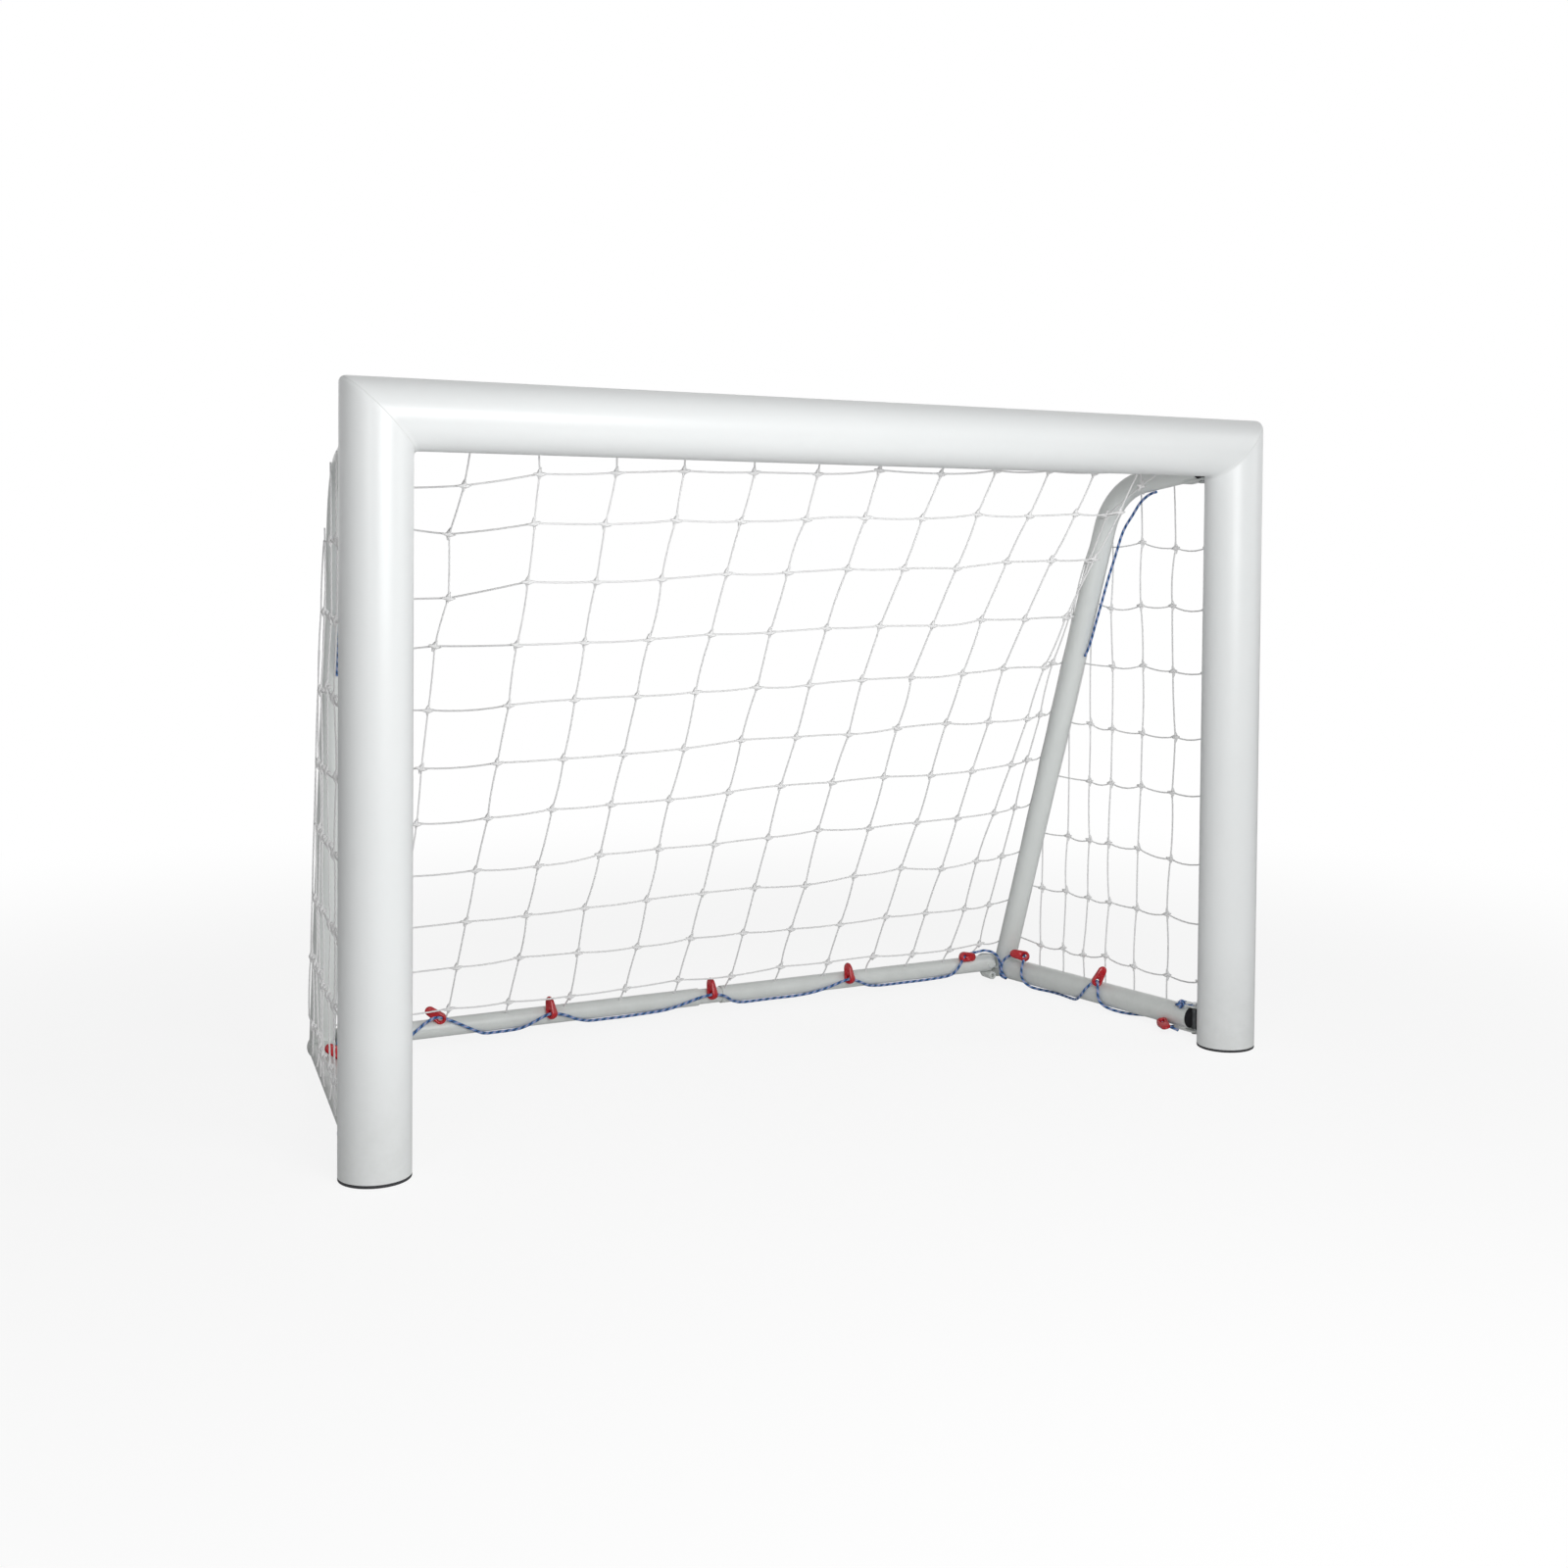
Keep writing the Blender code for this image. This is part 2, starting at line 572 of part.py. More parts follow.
def make_corner(label, sign):
    """The plate across the back of the corner, its stop peg and the pin that the rear bar turns on."""
    bar_end_x = REAR_HALF_WIDTH - math.tan(TOE_IN) * BAR_RADIUS
    peg_z = BAR_Z - BAR_RADIUS - GAP - PEG_RADIUS
    circles = [
        (bar_end_x, SIDE_BAR_Z, SIDE_RADIUS + PLATE_MARGIN),
        (PIVOT_X, BAR_Z, BAR_RADIUS),
        (PIVOT_X + PEG_OFFSET, peg_z, PEG_RADIUS),
    ]
    outline = [(sign * x, z) for x, z in hull_of_circles(circles, PIN_SIDES)]
    plate = prism(
        "corner_plate_" + label, outline, place(0, PLATE_FRONT, 0), ACROSS, UP, BACK, PLATE_THICKNESS,
        "grey_powder_coat",
    )
    pivot = place(sign * PIVOT_X, PLATE_FRONT, BAR_Z)
    hole = turned(
        "plate_hole_helper_" + label, pivot - BACK * PLATE_THICKNESS, BACK,
        [(0, PIN_RADIUS + GAP), (3 * PLATE_THICKNESS, PIN_RADIUS + GAP)], None, PIN_SIDES,
    )
    boolean(plate, hole, "DIFFERENCE")
    pin_start = place(sign * PIVOT_X, DEPTH - BAR_RADIUS - GAP - PIN_HEAD_HEIGHT, BAR_Z)
    shank_end = PIN_HEAD_HEIGHT + PLATE_BACK + 2 * GAP - (DEPTH - BAR_RADIUS)
    turned(
        "corner_pin_" + label, pin_start, BACK,
        [(0, PIN_HEAD_NOSE), (PIN_HEAD_HEIGHT / 2, PIN_HEAD_RADIUS),
         (PIN_HEAD_HEIGHT, PIN_HEAD_RADIUS), (PIN_HEAD_HEIGHT, PIN_RADIUS),
         (shank_end, PIN_RADIUS), (shank_end, PIN_HEAD_RADIUS),
         (shank_end + PIN_HEAD_HEIGHT, PIN_HEAD_RADIUS)],
        "zinc_steel", PIN_SIDES,
    )
    peg_start = place(sign * (PIVOT_X + PEG_OFFSET), PLATE_FRONT - GAP, peg_z)
    turned(
        "stop_peg_" + label, peg_start, -BACK, [(0, PEG_RADIUS), (PEG_LENGTH, PEG_RADIUS)],
        "grey_powder_coat", PIN_SIDES,
    )


def make_rear_bar():
    """Two tubes that turn on the corner pins, and the spigot that is fixed in the right one."""
    for label, sign in SIDES.items():
        inner_end = -SEAM_X if sign < 0 else SEAM_X + SEAM_GAP + SPIGOT_SHOWING
        start = place(sign * inner_end, DEPTH, BAR_Z)
        pivot = place(sign * PIVOT_X, DEPTH, BAR_Z)
        rounded = onto_cylinder(pivot, BACK, BAR_RADIUS, far=True)
        bar = tube(
            "rear_bar_" + label, [start, pivot], BACK, BAR_RADIUS, BAR_WALL,
            "grey_powder_coat", TUBE_SIDES, (None, rounded), blind=BAR_SOLID_END,
        )
        hole = turned(
            "bar_hole_helper_" + label, pivot - BACK * 2 * BAR_RADIUS, BACK,
            [(0, PIN_RADIUS + GAP), (4 * BAR_RADIUS, PIN_RADIUS + GAP)], None, PIN_SIDES,
        )
        boolean(bar, hole, "DIFFERENCE")
    turned(
        "rear_bar_spigot", place(SEAM_X + SEAM_GAP, DEPTH, BAR_Z), ACROSS,
        [(0, SPIGOT_RADIUS), (SPIGOT_SHOWING + SPIGOT_HIDDEN, SPIGOT_RADIUS)],
        "grey_powder_coat", TUBE_SIDES,
    )


def make_clip(name, centre, long_way, normal):
    """An oblong ring of round plastic: two half circles and two straight sides."""
    short_way = normal.cross(long_way)
    turn_radius = CLIP_WIDTH / 2 - CLIP_WIRE
    straight = CLIP_LENGTH / 2 - CLIP_WIDTH / 2
    rings = []
    for end in (1, -1):
        for a, b in arc((0, 0), 1, 0, 180, END_STEPS):
            outward = (short_way * a + long_way * b) * end
            middle = centre + long_way * straight * end + outward * turn_radius
            rings.append(ring(middle, outward, normal, CLIP_WIRE, WIRE_SIDES))
    skin(name, rings, "red_plastic", closed=True)


def around(centre, inner, up, radius, angle):
    """A point beside a bar, at an angle up from its inner side, and the way round the bar there."""
    turn = math.radians(angle)
    away = inner * math.cos(turn) + up * math.sin(turn)
    return centre + away * radius, up * math.cos(turn) - inner * math.sin(turn)


def make_clips():
    for number, (x, angle, radius) in enumerate(REAR_CLIPS, 1):
        reach = radius + GAP + CLIP_WIDTH / 2
        centre, round_way = around(place(x, DEPTH, BAR_Z), -BACK, UP, reach, angle)
        make_clip("rear_clip_" + str(number), centre, round_way, ACROSS)
    reach = SIDE_RADIUS + GAP + CLIP_WIDTH / 2
    for label, clips in (("left", LEFT_SIDE_CLIPS), ("right", RIGHT_SIDE_CLIPS)):
        sign = SIDES[label]
        for number, (back, angle) in enumerate(clips, 1):
            on_axis = on_side(sign, along_side(back), 0, SIDE_BAR_Z)
            centre, round_way = around(on_axis, -out_way(sign), UP, reach, angle)
            make_clip("side_clip_" + label + "_" + str(number), centre, round_way, side_way(sign))
        on_axis = on_side(sign, along_side(TAIL_CLIP[0]), 0, SIDE_BAR_Z)
        centre, round_way = around(on_axis, -out_way(sign), UP, reach, TAIL_CLIP[1])
        make_clip("side_clip_" + label + "_3", centre, side_way(sign), round_way)


def make_hooks():
    """Clips on the back of the crossbar and posts, where the net's front edge hangs."""
    reach = POST_RADIUS + GAP + CLIP_WIDTH / 2
    away = BACK * math.cos(HOOK_ANGLE) + UP * math.sin(HOOK_ANGLE)
    for number, x in enumerate(CROSSBAR_HOOKS, 1):
        centre = place(x, 0, CROSSBAR_Z) + away * reach
        make_clip("crossbar_hook_" + str(number), centre, ACROSS, ACROSS.cross(away))
    for label, sign in SIDES.items():
        for number, z in enumerate(POST_HOOKS, 1):
            centre = place(sign * HALF_SPACING, reach, z)
            make_clip("post_hook_" + label + "_" + str(number), centre, UP, ACROSS)


def smooth(route, where):
    """A Catmull-Rom curve through a route, as places about a cord step apart."""
    padded = [route[0], *route, route[-1]]
    found = []
    for before, start, end, after in zip(padded, padded[1:], padded[2:], padded[3:]):
        steps = max(1, round((where(*end) - where(*start)).length / CORD_STEP))
        for step in range(steps):
            t = step / steps
            found.append(where(*(
                0.5 * (2 * b + (c - a) * t
                       + (2 * a - 5 * b + 4 * c - d) * t**2 + (3 * b - a - 3 * c + d) * t**3)
                for a, b, c, d in zip(before, start, end, after)
            )))
    return [*found, where(*route[-1])]


def make_cord(name, points):
    """A round cord on a poly spline with closed ends."""
    curve = bpy.data.curves.new(name, "CURVE")
    curve.dimensions = "3D"
    curve.bevel_depth = CORD_RADIUS
    curve.bevel_resolution = 2
    curve.use_fill_caps = True
    spline = curve.splines.new("POLY")
    spline.points.add(len(points) - 1)
    for item, point in zip(spline.points, points):
        item.co = (*point, 1)
    curve.materials.append(material_for(name, "blue_cord"))
    bpy.context.scene.collection.objects.link(bpy.data.objects.new(name, curve))


def make_cords():
    for label, route in (("left", REAR_LEFT_ROUTE), ("right", REAR_RIGHT_ROUTE)):

        def beside_rear_bar(x, angle, lift):
            reach = BAR_RADIUS + CORD_GAP + CORD_RADIUS + max(lift, 0)
            return around(place(x, DEPTH, BAR_Z), -BACK, UP, reach, angle)[0]

        make_cord("rear_cord_" + label, smooth(route, beside_rear_bar))
    for label, route in (("left", LEFT_SIDE_ROUTE), ("right", RIGHT_SIDE_ROUTE)):
        sign = SIDES[label]

        def beside_ground_bar(back, angle, lift):
            reach = SIDE_RADIUS + CORD_GAP + CORD_RADIUS + max(lift, 0)
            on_axis = on_side(sign, along_side(back), 0, SIDE_BAR_Z)
            return around(on_axis, -out_way(sign), UP, reach, angle)[0]

        make_cord("side_cord_" + label, smooth(route, beside_ground_bar))

        def in_side_plane(back, z):
            return on_side(sign, along_side(back), 0, z)

        make_cord("leg_cord_" + label, smooth(LEG_ROUTE, in_side_plane))


def make_net():
    """Two sheets for each half of the net: one outside the side frame and one for the back."""
    for label, sign in SIDES.items():
        edge = frame_path(NET_SIDE_FRONT, NET_SIDE_FOOT_Z)
        outline = [(NET_SIDE_FRONT, NET_SIDE_FOOT_Z), *edge[::-1]]
        prism(
            "net_side_" + label, outline, on_side(sign, 0, SIDE_RADIUS + GAP, 0),
            side_way(sign), UP, out_way(sign), NET_THICKNESS, "net_twine",
        )
        leg_way = (-side_way(sign) * math.sin(LEG_LEAN) + UP * math.cos(LEG_LEAN)).normalized()
        grid = []
        for row in range(NET_ROWS):
            share = row / (NET_ROWS - 1)
            z = NET_TOP_Z + (NET_FOOT_Z - NET_TOP_Z) * share
            back = NET_TOP_BACK + (NET_FOOT_BACK - NET_TOP_BACK) * share
            leg_z = NET_LEG_TOP_Z + (NET_LEG_FOOT_Z - NET_LEG_TOP_Z) * share
            along = LEG_FOOT - math.tan(LEG_LEAN) * (leg_z - SIDE_BAR_Z)
            crease = place(sign * NET_CREASE_X, back, z)
            on_leg = on_side(sign, along, 0, leg_z)
            behind = (crease - on_leg).cross(leg_way).normalized() * sign
            off_leg = on_leg + behind * (SIDE_RADIUS + NET_GAP + NET_THICKNESS / 2)
            grid.append([place(sign * NET_CENTRE_GAP, back, z), crease, off_leg])
        make_sheet("net_back_" + label, grid, NET_THICKNESS, "net_twine")


def make_sheet(name, grid, thickness, finish):
    """A closed sheet of even thickness over a grid of points."""
    rows, columns = len(grid), len(grid[0])
    bm = bmesh.new()
    faces = {}
    for face in (0.5, -0.5):
        for r in range(rows):
            for c in range(columns):
                down = grid[min(r + 1, rows - 1)][c] - grid[max(r - 1, 0)][c]
                over = grid[r][min(c + 1, columns - 1)] - grid[r][max(c - 1, 0)]
                normal = down.cross(over).normalized()
                faces[face, r, c] = bm.verts.new(grid[r][c] + normal * thickness * face)
    for r in range(rows - 1):
        for c in range(columns - 1):
            for face in (0.5, -0.5):
                near = [faces[face, r, c], faces[face, r, c + 1]]
                far = [faces[face, r + 1, c + 1], faces[face, r + 1, c]]
                bm.faces.new(near + far)
    edge = [(r, 0) for r in range(rows)] + [(rows - 1, c) for c in range(1, columns)]
    edge += [(r, columns - 1) for r in range(rows - 2, -1, -1)]
    edge += [(0, c) for c in range(columns - 2, 0, -1)]
    for (r, c), (s, d) in zip(edge, edge[1:] + edge[:1]):
        bm.faces.new((faces[0.5, r, c], faces[0.5, s, d], faces[-0.5, s, d], faces[-0.5, r, c]))
    return finish_mesh(name, bm, finish)


def hang_from(name, point, pieces):
    """An empty on a joint's axis, which carries the pieces that turn there."""
    pivot = bpy.data.objects.new(name, None)
    pivot.empty_display_size = EMPTY_SIZE
    pivot.location = point
    bpy.context.scene.collection.objects.link(pivot)
    for piece in pieces:
        piece.parent = pivot
        piece.matrix_parent_inverse = Matrix.Translation(-point)
    return pivot


def hang_moving_pieces():
    """Each half of the rear bar turns on its corner pin, and the pin turns with its side frame."""
    loose = {item.name: item for item in bpy.data.objects if item.parent is None}
    for label, sign in SIDES.items():
        own_clips = REAR_LEFT_CLIP_NUMBERS if sign < 0 else REAR_RIGHT_CLIP_NUMBERS
        on_bar = ["rear_bar_" + label, "rear_cord_" + label]
        on_bar += ["rear_clip_" + str(number) for number in own_clips]
        if sign > 0:
            on_bar.append("rear_bar_spigot")
        on_side = [name for stem in SIDE_PIECES for name in loose if name.startswith(stem + label)]
        pin = place(sign * PIVOT_X, DEPTH, BAR_Z)
        bar_pivot = hang_from("rear_bar_pivot_" + label, pin, [loose[name] for name in on_bar])
        hinge = place(sign * HALF_SPACING, HINGE_BACK, SIDE_BAR_Z)
        side_pivot = hang_from("side_pivot_" + label, hinge, [loose[name] for name in on_side])
        bar_pivot.parent = side_pivot
        bar_pivot.matrix_parent_inverse = Matrix.Translation(-hinge)


def main():
    clear_scene()
    make_front_frame()
    for label, sign in SIDES.items():
        make_side_frame(label, sign)
        make_corner(label, sign)
    make_rear_bar()
    make_clips()
    make_hooks()
    make_cords()
    make_net()
    hang_moving_pieces()


main()
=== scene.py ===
# %% [markdown]
# # A folding soccer goal
#
# The goal has a white mouth frame of thick round tube, two thin side frames that hinge on it, a
# rear bar in two halves that plug together, and a net that red plastic clips and a blue cord hold.
# The measured frame comes in first and stays where it is. Everything after it is the finish: the
# surfaces, the net, the cord and the materials that a camera sees.

import math

import bmesh
import bpy
import numpy as np
from mathutils import Matrix, Vector


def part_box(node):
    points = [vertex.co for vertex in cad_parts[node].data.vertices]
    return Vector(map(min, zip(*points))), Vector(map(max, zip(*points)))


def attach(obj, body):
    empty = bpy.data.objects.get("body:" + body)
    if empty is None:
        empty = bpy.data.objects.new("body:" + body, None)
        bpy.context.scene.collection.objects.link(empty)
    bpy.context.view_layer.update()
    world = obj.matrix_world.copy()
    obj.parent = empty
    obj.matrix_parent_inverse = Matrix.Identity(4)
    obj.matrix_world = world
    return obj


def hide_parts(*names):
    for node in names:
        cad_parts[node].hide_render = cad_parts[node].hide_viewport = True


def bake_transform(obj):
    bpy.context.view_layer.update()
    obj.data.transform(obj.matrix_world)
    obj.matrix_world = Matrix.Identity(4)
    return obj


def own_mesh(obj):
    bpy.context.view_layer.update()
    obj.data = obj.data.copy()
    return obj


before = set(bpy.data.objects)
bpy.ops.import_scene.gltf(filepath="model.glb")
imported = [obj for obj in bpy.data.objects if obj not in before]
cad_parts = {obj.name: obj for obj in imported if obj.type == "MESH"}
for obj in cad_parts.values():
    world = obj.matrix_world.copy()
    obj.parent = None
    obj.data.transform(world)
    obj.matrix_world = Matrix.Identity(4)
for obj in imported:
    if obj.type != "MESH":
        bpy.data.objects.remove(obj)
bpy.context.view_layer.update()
CROSSBAR_LOW, CROSSBAR_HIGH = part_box("crossbar")
MOUTH_Y = (CROSSBAR_LOW.y + CROSSBAR_HIGH.y) / 2

# %% [markdown]
# A few sizes are used again and again: the ones that the frame was drawn from, in metres. Distances
# back are measured from the plane of the post axes, so a short function turns a distance across,
# a distance back and a height into a point. It takes single numbers or whole arrays.

# %% Sizes and directions
CORNER_Z = (CROSSBAR_LOW.z + CROSSBAR_HIGH.z) / 2
POST_RADIUS = (CROSSBAR_HIGH.z - CROSSBAR_LOW.z) / 2
HALF_SPACING = 0.900
CAP_LIP = 0.005
GAP = 0.0003
HINGE_BACK = 0.100
DEPTH = 0.720
REAR_NARROWING = 0.088
REAR_HALF_WIDTH = HALF_SPACING - REAR_NARROWING
SIDE_RADIUS, SIDE_WALL, SIDE_BAR_Z = 0.025, 0.002, 0.036
ARM_Z, ARM_FALL, LEG_LEAN = 1.224, math.radians(9.1), math.radians(17.3)
BEND_RADIUS = 0.150
TUBE_SETBACK = 0.0105
BAR_RADIUS, BAR_WALL, BAR_Z = 0.019, 0.002, 0.050
SIDES = {"left": -1, "right": 1}
TOE_IN = math.atan2(HALF_SPACING - REAR_HALF_WIDTH, DEPTH - HINGE_BACK)
UP, ACROSS, BACK = np.array([0.0, 0, 1]), np.array([1.0, 0, 0]), np.array([0.0, 1, 0])


def place(x, back, z):
    """Points from distances across, behind the post axes, and up."""
    return np.stack(np.broadcast_arrays(x, np.add(back, MOUTH_Y), z), -1).astype(float)


def side_way(sign):
    """Along a side frame, from its hinge to its rear corner."""
    return np.array([-sign * math.sin(TOE_IN), math.cos(TOE_IN), 0])


def out_way(sign):
    """Across a side frame, away from the middle of the goal."""
    return np.array([sign * math.cos(TOE_IN), math.sin(TOE_IN), 0])


def on_side(sign, along, out, z):
    """Points on a side frame: hinge + along * its way + out * the way outwards, at height z."""
    along, out, z = np.broadcast_arrays(*np.atleast_1d(along, out, z))
    hinge = place(sign * HALF_SPACING, HINGE_BACK, z)
    return hinge + along[:, None] * side_way(sign) + out[:, None] * out_way(sign)


print("side frames toe in", round(math.degrees(TOE_IN), 2), "degrees")

# %% [markdown]
# The camera stands in front of the goal and to its left, about as high as a child's eyes. Its place
# was worked out from the straight edges of the posts and bars. The picture's centre isn't on the
# lens axis, so the lens is shifted a little, as it is when a picture has been cropped.

# %% Camera
PICTURE = 1600
EYE = Vector((-1.75484, MOUTH_Y - 3.17298, 1.05975))
YAW, PITCH, ROLL = 0.5211, 0.02867, 0.00968
FOCAL_PIXELS = 1979.56
AXIS_X, AXIS_Y = 905.75, 608.69
SENSOR_MM = 36.0


def make_camera():
    """Turns yaw, pitch and roll into three unit axes, and puts them in the camera's matrix."""
    ahead = Vector((
        math.sin(YAW) * math.cos(PITCH), math.cos(YAW) * math.cos(PITCH), -math.sin(PITCH),
    ))
    level = Vector((math.cos(YAW), -math.sin(YAW), 0))
    over = level.cross(ahead)
    right = level * math.cos(ROLL) + over * math.sin(ROLL)
    up = over * math.cos(ROLL) - level * math.sin(ROLL)
    camera = bpy.data.objects.new("camera", bpy.data.cameras.new("camera"))
    camera.data.sensor_width = SENSOR_MM
    camera.data.lens = SENSOR_MM * FOCAL_PIXELS / PICTURE
    camera.data.shift_x = (PICTURE / 2 - AXIS_X) / PICTURE
    camera.data.shift_y = (AXIS_Y - PICTURE / 2) / PICTURE
    turn = Matrix((right, up, -ahead)).transposed()
    camera.matrix_world = Matrix.Translation(EYE) @ turn.to_4x4()
    bpy.context.scene.collection.objects.link(camera)
    bpy.context.scene.camera = camera
    return camera


camera = make_camera()
print("lens", round(camera.data.lens, 2), "mm")

# %% [markdown]
# Every new piece is a grid of points that a formula gives, so one function can skin them all. A
# grid has rows along the piece and columns round it. The same function takes many grids at once,
# which is how hundreds of short strings become one mesh.

# %% Skin a grid of points
SHARP_ANGLE = math.radians(40)


def skin(name, grids, material, body, ring=False, open_ends=False, slot=None, replaces=()):
    """Joins each point to its neighbours with four-sided faces, and closes both ends.

    grids has the shape (pieces, rows, columns, 3). The columns always close into a ring, and the
    rows do where ring is true. The UV map holds the share of the way round, and the distance
    along in metres.
    """
    pieces, rows, columns = grids.shape[:3]
    index = np.arange(pieces * rows * columns).reshape(pieces, rows, columns)
    low = index if ring else index[:, :-1]
    high = np.roll(index, -1, 1) if ring else index[:, 1:]
    quads = np.stack([low, np.roll(low, -1, 2), np.roll(high, -1, 2), high], -1).reshape(-1, 4)
    faces = quads.tolist()
    if not ring and not open_ends:
        faces += index[:, 0, ::-1].tolist() + index[:, -1].tolist()
    mesh = bpy.data.meshes.new(name)
    mesh.from_pydata(grids.reshape(-1, 3).tolist(), [], faces)
    middles = grids.mean(2)
    steps = np.linalg.norm(np.diff(middles, axis=1), axis=-1)
    along = np.concatenate([np.zeros((pieces, 1)), steps.cumsum(1)], 1)
    if ring:
        last = np.linalg.norm(middles[:, 0] - middles[:, -1], axis=-1)
        along = np.concatenate([along, along[:, -1:] + last[:, None]], 1)
    around = np.arange(columns + 1) / columns
    corner_u = np.stack([around[:-1], around[1:], around[1:], around[:-1]], -1)
    corner_v = np.stack([along[:, :-1], along[:, :-1], along[:, 1:], along[:, 1:]], -1)
    uv = np.zeros((len(mesh.loops), 2))
    shape = (pieces, corner_v.shape[1], columns, 4)
    uv[: quads.size, 0] = np.broadcast_to(corner_u[None, None], shape).ravel()
    uv[: quads.size, 1] = np.broadcast_to(corner_v[:, :, None], shape).ravel()
    mesh.uv_layers.new(name="UVMap").data.foreach_set("uv", uv.ravel())
    return finish_piece(name, mesh, material, body, replaces)


def finish_piece(name, mesh, material, body, replaces=()):
    """Points the faces outwards, smooths the round parts, and hangs the piece on its body."""
    bm = bmesh.new()
    bm.from_mesh(mesh)
    bmesh.ops.recalc_face_normals(bm, faces=bm.faces)
    bm.to_mesh(mesh)
    bm.free()
    mesh.shade_smooth()
    mesh.set_sharp_from_angle(angle=SHARP_ANGLE)
    mesh.materials.append(material)
    piece = bpy.data.objects.new(name, mesh)
    bpy.context.scene.collection.objects.link(piece)
    if body:
        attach(piece, body)
    if replaces:
        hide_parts(*replaces)
    return piece


print("edges sharper than", round(math.degrees(SHARP_ANGLE)), "degrees stay sharp")

# %% [markdown]
# A tube, a cord and a string are the same idea: a round profile carried along a path. At each point
# the profile needs two directions square to the path. Both come from one hint, a direction that
# never runs along the path, such as the way out from the bar that a cord lies on.

# %% Carry a round profile along a path
def unit(vectors):
    return vectors / np.linalg.norm(vectors, axis=-1, keepdims=True)


def carry(paths, hint, radius, count, way=None, ring=False):
    """Point = path + radius (cos a * out + sin a * side), with a going once round."""
    if way is None:
        way = np.roll(paths, -1, 1) - np.roll(paths, 1, 1) if ring else np.gradient(paths, axis=1)
    way = unit(np.broadcast_to(way, paths.shape))
    side = unit(np.cross(way, np.broadcast_to(hint, paths.shape)))
    out = np.cross(side, way)
    angle = np.arange(count) * 2 * np.pi / count
    radius = np.broadcast_to(radius, paths.shape[:2])[..., None, None]
    wheel = np.cos(angle)[:, None] * out[:, :, None] + np.sin(angle)[:, None] * side[:, :, None]
    return paths[:, :, None] + radius * wheel


def through(points, steps):
    """A smooth curve through some points: a Catmull-Rom spline, worked out for all at once."""
    points = np.asarray(points, float)
    before = np.concatenate([points[:1], points[:-1]])[:-1, None]
    after = np.concatenate([points[1:], points[-1:]])[1:, None]
    start, end = points[:-1, None], points[1:, None]
    t = (np.arange(steps) / steps)[None, :, None]
    bent = 0.5 * (
        2 * start + (end - before) * t
        + (2 * before - 5 * start + 4 * end - after) * t**2
        + (3 * start - before - 3 * end + after) * t**3
    )
    return np.concatenate([bent.reshape(-1, points.shape[1]), points[-1:]])


print("a curve through 3 points, in 4 steps each:", len(through(np.eye(3), 4)), "points")

# %% [markdown]
# Colours are written as the hex values that a paint chart or a picture gives, which are sRGB.
# Blender mixes light in linear values, so one function turns them. One more function adds a shader
# node: its settings are set by name, and each input takes a number, a colour, another node or one
# of its outputs. The main shader of a material is filled in the same way at its end.

# %% Colour and shader helpers
def colour(text):
    """sRGB to linear: c / 12.92 for dark values, ((c + 0.055) / 1.055) to the power 2.4 above."""
    values = np.array([int(text[i:i + 2], 16) for i in (1, 3, 5)]) / 255
    bright = ((values + 0.055) / 1.055) ** 2.4
    return (*np.where(values <= 0.04045, values / 12.92, bright).tolist(), 1.0)


def fill(tree, node, inputs):
    """Sets or links a node's inputs, by name or number. Another node gives its first output in use."""
    for key, value in inputs.items():
        if isinstance(value, bpy.types.Node):
            value = next(output for output in value.outputs if output.enabled)
        if isinstance(value, bpy.types.NodeSocket):
            tree.links.new(value, node.inputs[key])
        else:
            node.inputs[key].default_value = value


def add(tree, kind, inputs, **settings):
    """Adds one node, sets its settings, and fills its inputs."""
    node = tree.nodes.new("ShaderNode" + kind)
    for key, value in settings.items():
        setattr(node, key, value)
    fill(tree, node, inputs)
    return node


# The inputs of a Mix node that blends colours are reached by number: factor, first and second.
FACTOR, FIRST, SECOND = 0, 6, 7
METRES = "Object"


def begin(name):
    """A new material: its node tree, its Principled shader, and the places that a pattern reads."""
    material = bpy.data.materials.new(name)
    material.use_nodes = True
    tree = material.node_tree
    return material, tree, tree.nodes["Principled BSDF"], add(tree, "TexCoord", {}).outputs


def per_metre(millimetres):
    """A noise or wave scale that repeats about every so many millimetres."""
    return 1000 / millimetres


print("mid grey in linear light", round(colour("#808080")[0], 4))

# %% [markdown]
# The tubes have a polyester powder coat: the posts gloss white, the thin frames pale grey. Powder
# coat flows out into a faint orange peel, a few millimetres from dimple to dimple, and it picks up
# a little grey dust and handling marks near the ground. The mouth frame also shows its welds: a
# fine line across each top corner, where the two tubes were cut at 45 degrees and joined.

# %% Powder-coated tube
PEEL_MM, HAZE_MM, MARKS_MM = 4.0, 260.0, 35.0
PEEL_DEPTH = 0.00002
GLOSS_DOWN, GLOSS_UP = 0.02, 0.03
COAT_IOR = 1.5
SPLASH_TOP = 0.22
WELD_HALF_WIDTH, WELD_DEPTH, WELD_TINT = 0.0016, 0.0004, 0.15


